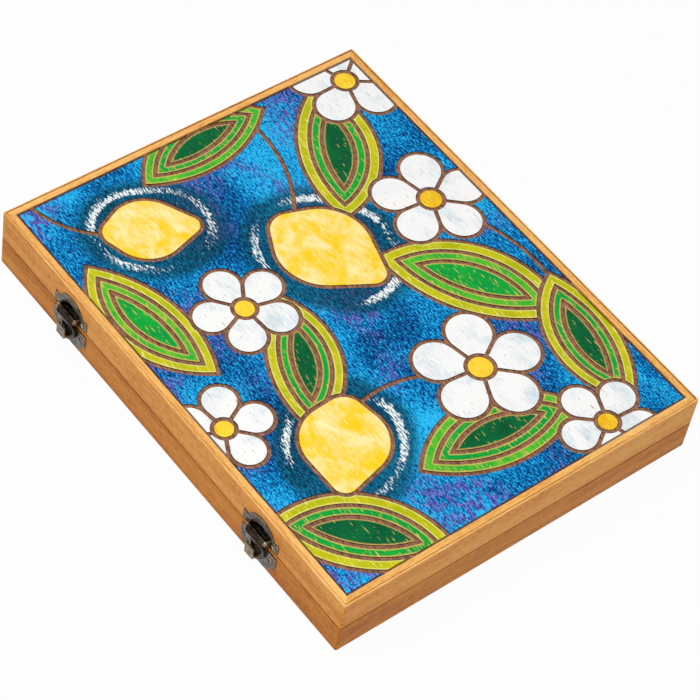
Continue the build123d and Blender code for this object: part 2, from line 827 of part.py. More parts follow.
for side, latch_x in latch_sides.items():
    face = front_plane(latch_x, 0)
    section = latch_section(latch_x)

    with BuildPart() as plate:
        with BuildSketch(face):
            add(plate_shape)
        extrude(amount=plate_thickness)
        chamfer(plate.faces().sort_by(Axis.Y)[0].outer_wire().edges(), plate_chamfer)
        with BuildSketch(face):
            add(moon)
            with Locations((-nail_offset, plate_nail_height), (nail_offset, plate_nail_height)):
                Circle(nail_radius + running_clearance)
        extrude(amount=plate_thickness, mode=Mode.SUBTRACT)
        for sign in (-1, 1):
            with BuildSketch(section.offset(sign * lug_start)):
                with Locations((pivot_out, pivot_height)):
                    Circle(lug_radius)
                with Locations(((plate_thickness + pivot_out) / 2.0, pivot_height)):
                    Rectangle(pivot_out - plate_thickness, 2.0 * lug_radius)
                with Locations((pivot_out, pivot_height)):
                    Circle(latch_pin_radius + fixed_clearance, mode=Mode.SUBTRACT)
            extrude(amount=sign * lug_thickness)
    keep(plate, f"latch_{side}_plate")

    with BuildPart() as hollow:
        with BuildSketch(section):
            add(hollow_side)
        extrude(amount=lever_half_width, both=True)
        with BuildSketch(face):
            add(hollow_shape)
        extrude(amount=hook_out, mode=Mode.INTERSECT)

    with BuildPart() as lever:
        with BuildSketch(section):
            add(lever_side)
        extrude(amount=lever_half_width, both=True)
        with BuildSketch(face):
            add(lever_shape)
        extrude(amount=hook_out, mode=Mode.INTERSECT)
        dome = lever.faces().sort_by(Axis.Y)[0]
        fillet(dome.edges().sort_by(Axis.Z)[:-1], lever_edge_round)
        add(hollow.part, mode=Mode.SUBTRACT)
        with BuildSketch(face):
            with Locations((0, (window_low + window_high) / 2.0)):
                Rectangle(2.0 * window_half_width, window_high - window_low)
        extrude(amount=hook_out, mode=Mode.SUBTRACT)
        with BuildSketch(section):
            with Locations((pivot_out, pivot_height)):
                Circle(barrel_radius)
        extrude(amount=lever_half_width, both=True)
        with BuildSketch(section):
            with Locations((pivot_out, pivot_height)):
                Circle(latch_pin_radius + running_clearance)
        extrude(amount=lever_half_width, both=True, mode=Mode.SUBTRACT)
    keep(lever, f"latch_{side}_lever")

    with BuildPart() as latch_pin:
        with BuildSketch(section):
            with Locations((pivot_out, pivot_height)):
                Circle(latch_pin_radius)
        extrude(amount=lug_start + lug_thickness + pin_end_proud, both=True)
        fillet(latch_pin.edges().filter_by(GeomType.CIRCLE), pin_end_proud)
    keep(latch_pin, f"latch_{side}_pin")

    with BuildPart() as keeper:
        with BuildSketch(face):
            add(keeper_shape)
        extrude(amount=plate_thickness)
        chamfer(keeper.faces().sort_by(Axis.Y)[0].outer_wire().edges(), plate_chamfer)
        with BuildSketch(face):
            with Locations((-nail_offset, keeper_nail_height), (nail_offset, keeper_nail_height)):
                Circle(nail_radius + running_clearance)
        extrude(amount=plate_thickness, mode=Mode.SUBTRACT)
        with BuildSketch(section):
            with BuildLine():
                Polyline(
                    (hook_out, hook_low + hook_bend),
                    (hook_out, hook_top),
                    (hook_out - hook_sheet, hook_top),
                    (hook_out - hook_sheet, hook_low + hook_sheet),
                    (plate_thickness, hook_low + hook_sheet),
                    (plate_thickness, hook_low),
                    (hook_out - hook_bend, hook_low),
                )
                RadiusArc((hook_out - hook_bend, hook_low), (hook_out, hook_low + hook_bend), -hook_bend)
            make_face()
        extrude(amount=hook_half_width, both=True)
    keep(keeper, f"latch_{side}_keeper")


# Nails that hold the latch plates

head_ball_radius = (nail_head_radius**2 + nail_head_height**2) / (2.0 * nail_head_height)

with BuildPart() as nail:
    with BuildSketch(Plane.XZ):
        with BuildLine():
            Polyline(
                (0, nail_head_height),
                (0, -nail_length),
                (nail_radius, 2.0 * nail_radius - nail_length),
                (nail_radius, 0),
                (nail_head_radius, 0),
            )
            RadiusArc((nail_head_radius, 0), (0, nail_head_height), -head_ball_radius)
        make_face()
    revolve(axis=Axis.Z)

for plate_name, nail_height in (("plate", plate_nail_height), ("keeper", keeper_nail_height)):
    heads = [front_plane(*spot).offset(plate_thickness) for spot in nail_spots(nail_height)]
    with BuildPart() as nails:
        with Locations(*heads):
            add(nail.part)
    keep(nails, f"latch_{plate_name}_nails")
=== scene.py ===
"""Looks for a travel backgammon case: wood, aged bronze and a carved, painted lid panel.

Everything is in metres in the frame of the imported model. The painted panel is drawn in millimetres
and brought to metres when a piece is finished.
"""

from __future__ import annotations

import json
import logging
import math
from dataclasses import dataclass, field
from enum import Enum, IntEnum
from functools import partial
from itertools import pairwise
from typing import Callable, Iterable, Sequence

import bmesh
import bpy
from mathutils import Matrix, Vector

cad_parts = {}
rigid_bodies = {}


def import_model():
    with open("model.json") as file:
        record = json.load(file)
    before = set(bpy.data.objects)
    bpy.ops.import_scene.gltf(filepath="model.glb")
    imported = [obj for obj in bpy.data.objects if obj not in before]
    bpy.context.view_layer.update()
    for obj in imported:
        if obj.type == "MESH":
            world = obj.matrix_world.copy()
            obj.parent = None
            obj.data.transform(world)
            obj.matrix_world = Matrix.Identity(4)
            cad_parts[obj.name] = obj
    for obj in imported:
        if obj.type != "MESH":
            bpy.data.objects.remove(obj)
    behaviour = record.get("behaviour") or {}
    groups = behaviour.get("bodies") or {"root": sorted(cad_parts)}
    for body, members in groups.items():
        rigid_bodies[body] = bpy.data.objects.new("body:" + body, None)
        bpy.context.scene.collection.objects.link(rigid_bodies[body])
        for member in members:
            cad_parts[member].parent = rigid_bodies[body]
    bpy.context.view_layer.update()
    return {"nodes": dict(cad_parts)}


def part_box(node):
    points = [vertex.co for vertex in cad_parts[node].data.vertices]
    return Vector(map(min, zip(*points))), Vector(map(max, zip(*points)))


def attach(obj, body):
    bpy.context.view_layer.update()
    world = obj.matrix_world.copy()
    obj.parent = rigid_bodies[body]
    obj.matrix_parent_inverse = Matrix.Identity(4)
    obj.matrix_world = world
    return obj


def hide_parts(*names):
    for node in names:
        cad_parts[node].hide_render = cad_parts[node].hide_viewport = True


LOG = logging.getLogger("backgammon_case")
MM = 0.001

# The picture panel's length and width and the width of the painted shade along its edge, in millimetres
PANEL_LENGTH = 289.8
PANEL_WIDTH = 227.8
PANEL_EDGE_SHADE = 1.3

# The width of the carved lines round the motifs in millimetres, and the steps round a disc
CARVED_LINE = 2.4
DISC_STEPS = 56

# In millimetres, how near two corners of an outline are joined, and how far one may stray unseen
JOINED_WITHIN = 0.001
UNSEEN = 0.01

# How much of a level face's normal points up
LEVEL = 0.9

# The places of a Mix node's colour sockets, whose names its other sockets have too
MIX_LOWER, MIX_UPPER, MIX_RESULT = 6, 7, 2

Colour = tuple[float, float, float, float]
Socket = bpy.types.NodeSocket


def srgb(red: float, green: float, blue: float) -> Colour:
    """Turn a colour as seen on a screen into the linear values that shaders take.

    Args:
        red: red from 0 to 255.
        green: green from 0 to 255.
        blue: blue from 0 to 255.

    Returns:
        The linear colour, opaque.
    """

    def linear(value: float) -> float:
        """Linear value of one channel."""
        share = value / 255.0
        return share / 12.92 if share <= 0.04045 else ((share + 0.055) / 1.055) ** 2.4

    return (linear(red), linear(green), linear(blue), 1.0)


class Grain(Enum):
    """The way that a board's grain runs, with the turn that lays the pattern's X along it."""

    ALONG_X = (0.0, 0.0, 0.0)
    ALONG_Y = (0.0, 0.0, math.radians(90.0))


class ShaderSketch:
    """One material's node tree, with short ways to add and join its nodes."""

    def __init__(self, name: str) -> None:
        """Start a material that holds a Principled shader and its output.

        Args:
            name: the material's name.
        """
        self.material = bpy.data.materials.new(name)
        self.material.use_nodes = True
        self.tree = self.material.node_tree
        self.shader = self.tree.nodes["Principled BSDF"]
        self.coords = self.tree.nodes.new("ShaderNodeTexCoord").outputs["Object"]

    def join(self, value: Socket | float | Colour, target: Socket) -> None:
        """Link a socket to a target, or set a plain value on it.

        Args:
            value: the socket or the value.
            target: the socket that takes it.
        """
        if isinstance(value, bpy.types.NodeSocket):
            self.tree.links.new(value, target)
        else:
            target.default_value = value

    def place(
        self,
        scale: Sequence[float] = (1.0, 1.0, 1.0),
        turn: Sequence[float] = (0.0, 0.0, 0.0),
        shift: Sequence[float] = (0.0, 0.0, 0.0),
        centred: bool = False,
        source: Socket | None = None,
    ) -> Socket:
        """Turn, stretch and shift the object's coordinates for a pattern.

        Args:
            scale: how many times the pattern repeats per metre along each axis.
            turn: rotation in radians about each axis.
            shift: the shift, or where centred is true the point that becomes the centre.
            centred: whether the pattern is centred on the point before it is turned and stretched.
            source: coordinates to start from, the object's own if left out.

        Returns:
            The placed coordinates.
        """
        mapping = self.tree.nodes.new("ShaderNodeMapping")
        mapping.vector_type = "TEXTURE" if centred else "POINT"
        size = [1.0 / value for value in scale] if centred else list(scale)
        mapping.inputs["Scale"].default_value = size
        mapping.inputs["Rotation"].default_value = list(turn)
        mapping.inputs["Location"].default_value = list(shift)
        self.join(source or self.coords, mapping.inputs["Vector"])
        return mapping.outputs["Vector"]

    def noise(
        self,
        repeats: Sequence[float],
        turn: Sequence[float] = (0.0, 0.0, 0.0),
        shift: Sequence[float] = (0.0, 0.0, 0.0),
        source: Socket | None = None,
        detail: float = 2.0,
        rough: float = 0.5,
        swirl: float = 0.0,
    ) -> Socket:
        """Noise from 0 to 1 over the object.

        Args:
            repeats: how many times the pattern repeats per metre along each axis.
            turn: rotation in radians about each axis.
            shift: the pattern's shift.
            source: coordinates to start from, the object's own if left out.
            detail: how many finer layers it has.
            rough: how strong the finer layers are.
            swirl: how far the pattern is bent by itself.

        Returns:
            The noise value.
        """
        noise = self.tree.nodes.new("ShaderNodeTexNoise")
        noise.inputs["Scale"].default_value = 1.0
        noise.inputs["Detail"].default_value = detail
        noise.inputs["Roughness"].default_value = rough
        noise.inputs["Distortion"].default_value = swirl
        self.join(self.place(repeats, turn, shift, source=source), noise.inputs["Vector"])
        return noise.outputs["Fac"]

    def ramp(self, value: Socket, stops: Sequence[tuple[float, Colour]]) -> Socket:
        """Colours along a value.

        Args:
            value: the value from 0 to 1.
            stops: places along it and their colours, in rising order.

        Returns:
            The colour.
        """
        ramp = self.tree.nodes.new("ShaderNodeValToRGB")
        bar = ramp.color_ramp
        while len(bar.elements) < len(stops):
            bar.elements.new(0.5)
        for element, (place, colour) in zip(bar.elements, stops):
            element.position = place
            element.color = colour
        self.join(value, ramp.inputs["Fac"])
        return ramp.outputs["Color"]

    def mask(self, value: Socket, low: float, high: float) -> Socket:
        """A value that goes smoothly from 0 to 1.

        Args:
            value: what it follows.
            low: where it is 0.
            high: where it is 1, which may lie below the other.

        Returns:
            The value from 0 to 1.
        """
        step = self.tree.nodes.new("ShaderNodeMapRange")
        step.interpolation_type = "SMOOTHSTEP"
        rising = low < high
        step.inputs["From Min"].default_value = low if rising else high
        step.inputs["From Max"].default_value = high if rising else low
        step.inputs["To Min"].default_value = 0.0 if rising else 1.0
        step.inputs["To Max"].default_value = 1.0 if rising else 0.0
        self.join(value, step.inputs["Value"])
        return step.outputs["Result"]

    def calc(self, kind: str, first: Socket | float, second: Socket | float = 0.0) -> Socket:
        """Work out a value from one or two others.

        Args:
            kind: the math node's operation.
            first: the first value.
            second: the second value, where the operation has one.

        Returns:
            The result.
        """
        math_node = self.tree.nodes.new("ShaderNodeMath")
        math_node.operation = kind
        self.join(first, math_node.inputs[0])
        self.join(second, math_node.inputs[1])
        return math_node.outputs["Value"]

    def times(self, first: Socket | float, second: Socket | float) -> Socket:
        """One value times another."""
        return self.calc("MULTIPLY", first, second)

    def plus(self, first: Socket | float, second: Socket | float) -> Socket:
        """One value plus another."""
        return self.calc("ADD", first, second)

    def minus(self, first: Socket | float, second: Socket | float) -> Socket:
        """One value less another."""
        return self.calc("SUBTRACT", first, second)

    def reach(self, first: Socket, second: Socket) -> Socket:
        """How far a point lies from the middle, by its two distances along the axes."""
        squares = [self.calc("POWER", side, 2.0) for side in (first, second)]
        return self.calc("SQRT", self.plus(*squares))

    def blend(self, share: Socket | float, below: Socket | Colour, above: Socket | Colour) -> Socket:
        """Lay one colour over another.

        Args:
            share: how much of the upper colour shows, from 0 to 1.
            below: the lower colour.
            above: the upper colour.

        Returns:
            The blended colour.
        """
        mix = self.tree.nodes.new("ShaderNodeMix")
        mix.data_type = "RGBA"
        self.join(share, mix.inputs["Factor"])
        self.join(below, mix.inputs[MIX_LOWER])
        self.join(above, mix.inputs[MIX_UPPER])
        return mix.outputs[MIX_RESULT]

    def parts(self, where: Socket) -> tuple[Socket, Socket, Socket]:
        """Take coordinates apart.

        Args:
            where: the coordinates.

        Returns:
            Their X, Y and Z.
        """
        split = self.tree.nodes.new("ShaderNodeSeparateXYZ")
        self.join(where, split.inputs["Vector"])
        return split.outputs["X"], split.outputs["Y"], split.outputs["Z"]

    def with_edge_shade(self, tone: Socket) -> Socket:
        """Darken a painted colour in a fine line along the panel's own edge, as painted shade where it
        meets the frame.

        Args:
            tone: the colour.

        Returns:
            The colour with its painted shade along the edge.
        """
        x, y, _ = self.parts(self.coords)
        past_x = self.minus(self.calc("ABSOLUTE", x), (PANEL_LENGTH / 2.0 - PANEL_EDGE_SHADE) * MM)
        past_y = self.minus(self.calc("ABSOLUTE", y), (PANEL_WIDTH / 2.0 - PANEL_EDGE_SHADE) * MM)
        line = self.mask(self.calc("MAXIMUM", past_x, past_y), -0.1 * MM, 0.15 * MM)
        # Painted shade: a dark brown line along the panel's edge, where the panel meets the frame
        return self.blend(self.times(line, 0.88), tone, srgb(76, 44, 22))

    def edge_turn(self, width: float) -> Socket:
        """Find the edges by how far a softened face turns away from the real one.

        Args:
            width: how far from an edge it reaches, in millimetres.

        Returns:
            A value of 1 on open faces that falls to about 0.7 on the edges.
        """
        rounded = self.tree.nodes.new("ShaderNodeBevel")
        rounded.samples = 6
        rounded.inputs["Radius"].default_value = width * MM
        straight = self.tree.nodes.new("ShaderNodeNewGeometry").outputs["Normal"]
        turned = self.tree.nodes.new("ShaderNodeVectorMath")
        turned.operation = "DOT_PRODUCT"
        self.join(rounded.outputs["Normal"], turned.inputs[0])
        self.join(straight, turned.inputs[1])
        return turned.outputs["Value"]

    def hollow_share(self, reach: float) -> Socket:
        """Find the hollows.

        Args:
            reach: how far from a face its neighbours are looked for, in millimetres.

        Returns:
            A value from 0 on open faces to 1 deep in hollows.
        """
        shade = self.tree.nodes.new("ShaderNodeAmbientOcclusion")
        shade.samples = 8
        shade.inputs["Distance"].default_value = reach * MM
        return self.mask(shade.outputs["AO"], 0.8, 0.3)

    def relief(self, height: Socket, depth: float, strength: float = 1.0) -> None:
        """Give the surface a fine relief.

        Args:
            height: the height from 0 to 1.
            depth: the depth of the relief in metres.
            strength: how much of it shows.
        """
        bump = self.tree.nodes.new("ShaderNodeBump")
        bump.inputs["Strength"].default_value = strength
        bump.inputs["Distance"].default_value = depth
        self.join(height, bump.inputs["Height"])
        self.join(bump.outputs["Normal"], self.shader.inputs["Normal"])

    def dress(self, **values: Socket | float | Colour) -> bpy.types.Material:
        """Set the shader's sockets by name, with _ for a space.

        Args:
            **values: the sockets' names and what goes into them.

        Returns:
            The finished material.
        """
        for name, value in values.items():
            self.join(value, self.shader.inputs[name.replace("_", " ")])
        return self.material


@dataclass(frozen=True)
class LacqueredWood:
    """Straight-grained wood under a satin lacquer.

    pale, middle and deep are its tones, grain the way that it runs, pores how dark its fine pores are,
    and rough is the lacquer's roughness. seam is the height in millimetres of the case's parting line,
    where it is darkened as painted shade, or zero where it has none.
    """

    name: str
    pale: Colour
    middle: Colour
    deep: Colour
    grain: Grain
    pores: float = 0.35
    rough: float = 0.36
    seam: float = 0.0

    def make(self) -> bpy.types.Material:
        """Make the material.

        Returns:
            The wood with its fibres, bands, pores and a fine relief.
        """
        sketch = ShaderSketch(self.name)
        along = sketch.place(turn=self.grain.value)
        fibres = sketch.noise((60.0, 1100.0, 1100.0), source=along, detail=4.0, rough=0.6)
        flecks = sketch.noise((260.0, 900.0, 900.0), source=along, detail=3.0, rough=0.65)
        bands = sketch.noise((3.0, 120.0, 120.0), source=along, detail=3.0, swirl=0.3)
        clouds = sketch.noise((12.0, 34.0, 34.0), source=along, detail=2.0)
        mixed = sketch.times(fibres, 0.3)
        for layer, share in ((flecks, 0.26), (bands, 0.26), (clouds, 0.18)):
            mixed = sketch.plus(mixed, sketch.times(layer, share))
        tone = sketch.ramp(mixed, ((0.42, self.deep), (0.5, self.middle), (0.58, self.pale)))
        dashes = sketch.noise((150.0, 2400.0, 2400.0), source=along, detail=2.0)
        pores = sketch.mask(dashes, 0.6, 0.7)
        tone = sketch.blend(sketch.times(pores, self.pores), tone, self.deep)
        # Painted shade: a dark line along the parting line between lid and base
        if self.seam:
            _, _, z = sketch.parts(sketch.coords)
            away = sketch.calc("ABSOLUTE", sketch.minus(z, self.seam * MM))
            seam_shade = sketch.mask(away, 0.55 * MM, 0.2 * MM)
            tone = sketch.blend(sketch.times(seam_shade, 0.9), tone, srgb(92, 46, 18))
        sketch.relief(sketch.minus(fibres, pores), 0.00005, 0.4)
        return sketch.dress(Base_Color=tone, Roughness=self.rough, Specular_IOR_Level=0.06)


@dataclass(frozen=True)
class AgedBronze:
    """Stamped sheet with a dark antique plating, lighter on its edges, partly rubbed and partly a painted
    highlight, and darker in its hollows, partly patina and partly painted shade.

    dark and middle are the plating's tones, the third tone is that of the edges, partly rubbed plating
    and partly painted highlight, and worn is how far from an edge it shows, in millimetres.
    """

    name: str
    dark: Colour
    middle: Colour
    wear_and_highlight: Colour
    worn: float = 0.45

    def make(self) -> bpy.types.Material:
        """Make the material.

        Returns:
            The metal, mottled, with edges lightened as wear and painted highlight, and hollows darkened
            as patina and painted shade.
        """
        sketch = ShaderSketch(self.name)
        mottle = sketch.noise((420.0, 420.0, 420.0), detail=5.0, rough=0.65)
        patches = sketch.noise((130.0, 130.0, 130.0), detail=3.0)
        tone = sketch.ramp(mottle, ((0.36, self.dark), (0.64, self.middle)))
        # Partly wear, partly painted highlight: the edges blended toward the pale edge colour
        edges = sketch.mask(sketch.edge_turn(self.worn), 0.985, 0.86)
        worn = sketch.times(edges, sketch.mask(patches, 0.3, 0.5))
        tone = sketch.blend(worn, tone, self.wear_and_highlight)
        # Partly patina, partly painted shade: hollows darkened nearly to black
        tone = sketch.blend(sketch.times(sketch.hollow_share(2.2), 0.9), tone, srgb(10, 7, 5))
        rough = sketch.plus(0.2, sketch.times(mottle, 0.22))
        sketch.relief(mottle, 0.00008, 0.6)
        return sketch.dress(Base_Color=tone, Roughness=rough, Metallic=1.0)


@dataclass(frozen=True)
class Halo:
    """A ring of chalk strokes round an oval on the ground.

    x and y are its middle and half_length and half_width the oval's size in millimetres, turn its turn
    in radians, gap the way from the oval to the middle of the ring, and spread half the ring's width.
    """

    x: float
    y: float
    half_length: float
    half_width: float
    turn: float
    gap: float = 7.4
    spread: float = 3.8


@dataclass(frozen=True)
class CrayonGround:
    """Blue and purple crayon rubbed over a dark wash, with chalk rings."""

    name: str
    halos: tuple[Halo, ...]

    def ring(self, sketch: ShaderSketch, halo: Halo) -> tuple[Socket, Socket]:
        """How near each point is to one ring.

        Args:
            sketch: the material's tree.
            halo: the ring.

        Returns:
            The share of chalk and the share of bare wash beside it, from 0 to 1.
        """
        middle = (halo.x * MM, halo.y * MM, 0.0)
        stretch = halo.half_width / halo.half_length
        where = sketch.place((stretch, 1.0, 0.0001), (0.0, 0.0, halo.turn), middle, centred=True)
        x, y, _ = sketch.parts(where)
        sway = sketch.noise((26.0, 26.0, 1.0), detail=1.0)
        reach = sketch.plus(sketch.reach(x, y), sketch.times(sketch.minus(sway, 0.5), 7.0 * MM))
        centre = (halo.half_width + halo.gap) * MM
        inner = sketch.mask(reach, centre - halo.spread * MM, centre - 0.4 * halo.spread * MM)
        outer = sketch.mask(reach, centre + 1.3 * halo.spread * MM, centre)
        sweep = sketch.noise((13.0, 13.0, 1.0), shift=(halo.x, halo.y, 0.0), detail=1.0)
        chalk = sketch.times(sketch.times(inner, outer), sketch.mask(sweep, 0.34, 0.52))
        wash = sketch.mask(reach, centre + 3.0 * halo.spread * MM, centre + 0.8 * halo.spread * MM)
        return chalk, wash

    def make(self) -> bpy.types.Material:
        """Make the material.

        Returns:
            The painted ground.
        """
        sketch = ShaderSketch(self.name)
        broad = sketch.noise((17.0, 20.0, 1.0), detail=2.0, swirl=0.7)
        drift = sketch.noise((14.0, 16.0, 1.0), shift=(3.7, 1.9, 0.0), detail=2.0, swirl=0.6)
        strokes = sketch.noise((300.0, 1450.0, 1.0), (0.0, 0.0, 0.08), detail=2.0, rough=0.6)
        weave = sketch.noise((1300.0, 640.0, 1.0), (0.0, 0.0, 0.35), detail=2.0, rough=0.6)
        rub = sketch.plus(sketch.times(strokes, 0.6), sketch.times(weave, 0.4))
        lift = sketch.plus(rub, sketch.times(sketch.minus(broad, 0.5), 0.42))
        blue = sketch.ramp(
            lift,
            (
                (0.39, srgb(0, 34, 78)),
                (0.45, srgb(0, 76, 138)),
                (0.505, srgb(0, 124, 196)),
                (0.57, srgb(44, 190, 242)),
            ),
        )
        purple = sketch.ramp(
            rub, ((0.4, srgb(10, 52, 112)), (0.5, srgb(70, 88, 172)), (0.6, srgb(140, 122, 208)))
        )
        tufts = sketch.noise((150.0, 420.0, 1.0), (0.0, 0.0, 0.1), detail=2.0)
        veil = sketch.times(sketch.mask(drift, 0.48, 0.62), sketch.mask(tufts, 0.44, 0.56))
        tone = sketch.blend(veil, blue, purple)
        chalks, washes = zip(*(self.ring(sketch, halo) for halo in self.halos))
        teal = sketch.ramp(rub, ((0.42, srgb(2, 38, 52)), (0.58, srgb(6, 84, 106))))
        for wash in washes:
            tone = sketch.blend(sketch.times(wash, 0.8), tone, teal)
        ticks = sketch.noise((300.0, 1300.0, 1.0), (0.0, 0.0, -0.1), detail=2.0, rough=0.6)
        for chalk in chalks:
            grit = sketch.plus(sketch.times(chalk, 0.32), ticks)
            tone = sketch.blend(sketch.mask(grit, 0.74, 0.8), tone, srgb(236, 242, 240))
        sketch.relief(rub, 0.00014, 0.5)
        return sketch.dress(Base_Color=sketch.with_edge_shade(tone), Roughness=0.6, Specular_IOR_Level=0.06)


@dataclass(frozen=True)
class CrayonPaint:
    """One painted colour, rubbed over a second one, with flecks where the paint has missed the wood.

    under and over are the lower and upper colours and cover how much the upper one hides, from 0 to 1.
    fleck is the colour of the flecks, flecked how many there are, and worn how far the paint falls short
    of its edges. soft is how gently the two colours meet, and patch how small their patches are.
    """

    name: str
    under: Colour
    over: Colour
    cover: float
    fleck: Colour
    flecked: float
    worn: float = 0.0
    soft: float = 0.16
    patch: float = 26.0

    def make(self) -> bpy.types.Material:
        """Make the material.

        Returns:
            The painted finish.
        """
        sketch = ShaderSketch(self.name)
        patches = sketch.noise((self.patch, self.patch * 1.3, 1.0), detail=4.0, rough=0.6, swirl=0.4)
        strokes = sketch.noise((170.0, 800.0, 1.0), (0.0, 0.0, -0.06), detail=3.0, rough=0.65)
        rub = sketch.plus(sketch.times(patches, 0.66), sketch.times(strokes, 0.34))
        middle = 0.62 - 0.24 * self.cover
        low, high = middle - self.soft / 2.0, middle + self.soft / 2.0
        tone = sketch.blend(sketch.mask(rub, low, high), self.under, self.over)
        cuts = sketch.noise((140.0, 1250.0, 1.0), (0.0, 0.0, 0.1), detail=2.0, rough=0.55)
        if self.worn:
            turn = sketch.edge_turn(1.9)
            for start, end, share in ((0.99, 0.88, self.worn), (0.87, 0.8, 0.3)):
                cuts = sketch.plus(cuts, sketch.times(sketch.mask(turn, start, end), share))
        edge = 0.74 - 0.14 * self.flecked
        if self.flecked:
            tone = sketch.blend(sketch.mask(cuts, edge, edge + 0.035), tone, self.fleck)
        sketch.relief(strokes, 0.0001, 0.4)
        return sketch.dress(Base_Color=sketch.with_edge_shade(tone), Roughness=0.56, Specular_IOR_Level=0.08)


@dataclass(frozen=True)
class CarvedWood:
    """Bare brown wood of the carved lines, with darker fibres."""

    name: str
    pale: Colour
    dark: Colour

    def make(self) -> bpy.types.Material:
        """Make the material.

        Returns:
            The cut wood.
        """
        sketch = ShaderSketch(self.name)
        fibres = sketch.noise((300.0, 900.0, 200.0), detail=3.0, rough=0.6)
        tone = sketch.ramp(fibres, ((0.38, self.dark), (0.62, self.pale)))
        sketch.relief(fibres, 0.00008, 0.5)
        return sketch.dress(Base_Color=tone, Roughness=0.7, Specular_IOR_Level=0.15)


@dataclass(frozen=True)
class Moulded:
    """Polished plastic with a faint cloud in it."""

    name: str
    tone: Colour
    cloud: Colour
    rough: float

    def make(self) -> bpy.types.Material:
        """Make the material.

        Returns:
            The plastic.
        """
        sketch = ShaderSketch(self.name)
        clouds = sketch.noise((160.0, 160.0, 160.0), detail=3.0, swirl=0.8)
        tone = sketch.ramp(clouds, ((0.35, self.cloud), (0.65, self.tone)))
        return sketch.dress(Base_Color=tone, Roughness=self.rough)


@dataclass(frozen=True)
class TurnedWood:
    """Wood turned on a lathe, with grain across the piece and fine rings from the tool.

    pale and deep are its tones, axis_y and axis_z give the axis that it was turned on in metres, and
    rings is how many radians of the rings' wave lie in a metre.
    """

    name: str
    pale: Colour
    deep: Colour
    axis_y: float
    axis_z: float
    rings: float = 12000.0

    def make(self) -> bpy.types.Material:
        """Make the material.

        Returns:
            The turned wood.
        """
        sketch = ShaderSketch(self.name)
        fibres = sketch.noise((520.0, 420.0, 12.0), detail=4.0, rough=0.6)
        piece = sketch.noise((64.0, 1.0, 1.0), detail=1.0)
        mixed = sketch.plus(sketch.times(fibres, 0.7), sketch.times(piece, 0.3))
        tone = sketch.ramp(mixed, ((0.36, self.deep), (0.64, self.pale)))
        _, y, z = sketch.parts(sketch.place(shift=(0.0, self.axis_y, self.axis_z), centred=True))
        rings = sketch.calc("SINE", sketch.times(sketch.reach(y, z), self.rings))
        sketch.relief(rings, 0.00003, 0.35)
        lacquer = {"Coat_Weight": 0.1, "Coat_Roughness": 0.2}
        return sketch.dress(Base_Color=tone, Roughness=0.38, Specular_IOR_Level=0.2, **lacquer)


# The carved picture, drawn flat in millimetres and raised into shallow islands


@dataclass(frozen=True)
class Spot:
    """Where a motif lies on the panel: its middle in millimetres and its turn in degrees."""

    x: float
    y: float
    turn: float = 0.0

    def move(self, shape: bmesh.types.BMesh) -> bmesh.types.BMesh:
        """Turn a flat shape and bring it to its place.

        Args:
            shape: the shape, drawn round the origin.

        Returns:
            The same shape.
        """
        turn = Matrix.Rotation(math.radians(self.turn), 4, "Z")
        place = Matrix.Translation((self.x, self.y, 0.0)) @ turn
        bmesh.ops.transform(shape, matrix=place, verts=shape.verts)
        return shape


@dataclass(frozen=True)
class Arc:
    """Part of a circle on an outline, with its centre, its radius and the angles that it runs between."""

    x: float
    y: float
    radius: float
    start: float
    end: float

    @property
    def steps(self) -> int:
        """How many straight steps look round."""
        step = 2.0 * math.acos(1.0 - UNSEEN / self.radius)
        return max(4, math.ceil(abs(self.end - self.start) / step))


def disc(radius: float) -> bmesh.types.BMesh:
    """A flat round face.

    Args:
        radius: its radius.

    Returns:
        The flat shape.
    """
    shape = bmesh.new()
    bmesh.ops.create_circle(shape, cap_ends=True, segments=DISC_STEPS, radius=radius)
    return shape


def outline(arcs: Sequence[Arc]) -> bmesh.types.BMesh:
    """A flat face inside a closed run of arcs, with a straight side where one ends short of the next.

    Args:
        arcs: the arcs in the order that they follow each other, anticlockwise.

    Returns:
        The flat shape.
    """
    shape = bmesh.new()
    ends = []
    for arc in arcs:
        place = (arc.x + arc.radius * math.cos(arc.start), arc.y + arc.radius * math.sin(arc.start), 0.0)
        first = shape.verts.new(place)
        spun = bmesh.ops.spin(
            shape,
            geom=[first],
            cent=(arc.x, arc.y, 0.0),
            axis=(0.0, 0.0, 1.0),
            angle=arc.end - arc.start,
            steps=arc.steps,
        )
        ends.append((first, spun["geom_last"][0]))
    for (_, before), (after, _) in zip(ends, [*ends[1:], ends[0]]):
        if (before.co - after.co).length > JOINED_WITHIN:
            shape.edges.new((before, after))
    bmesh.ops.remove_doubles(shape, verts=shape.verts, dist=JOINED_WITHIN)
    bmesh.ops.edgeloop_fill(shape, edges=shape.edges)
    return shape


def lens(length: float, width: float, bend: float, inset: float) -> bmesh.types.BMesh:
    """A pointed leaf between two arcs.

    Args:
        length: its length from tip to tip before the inset.
        width: its width before the inset.
        bend: how much farther its left side stands out than its right side.
        inset: how far it is drawn in all round, or out where below zero.

    Returns:
        The flat shape.
    """
    rise, fall = width / 2.0 + bend, width / 2.0 - bend
    upper = (length**2 / 4.0 + rise**2) / (2.0 * rise)
    lower = (length**2 / 4.0 + fall**2) / (2.0 * fall)
    apart = upper + lower - width
    above, below = upper - inset, lower - inset
    seam = rise - upper + (apart**2 + above**2 - below**2) / (2.0 * apart)
    first = math.asin((seam - rise + upper) / above)
    last = math.asin((lower - fall - seam) / below)
    return outline(
        (
            Arc(0.0, rise - upper, above, first, math.pi - first),
            Arc(0.0, lower - fall, below, math.pi + last, 2.0 * math.pi - last),
        )
    )


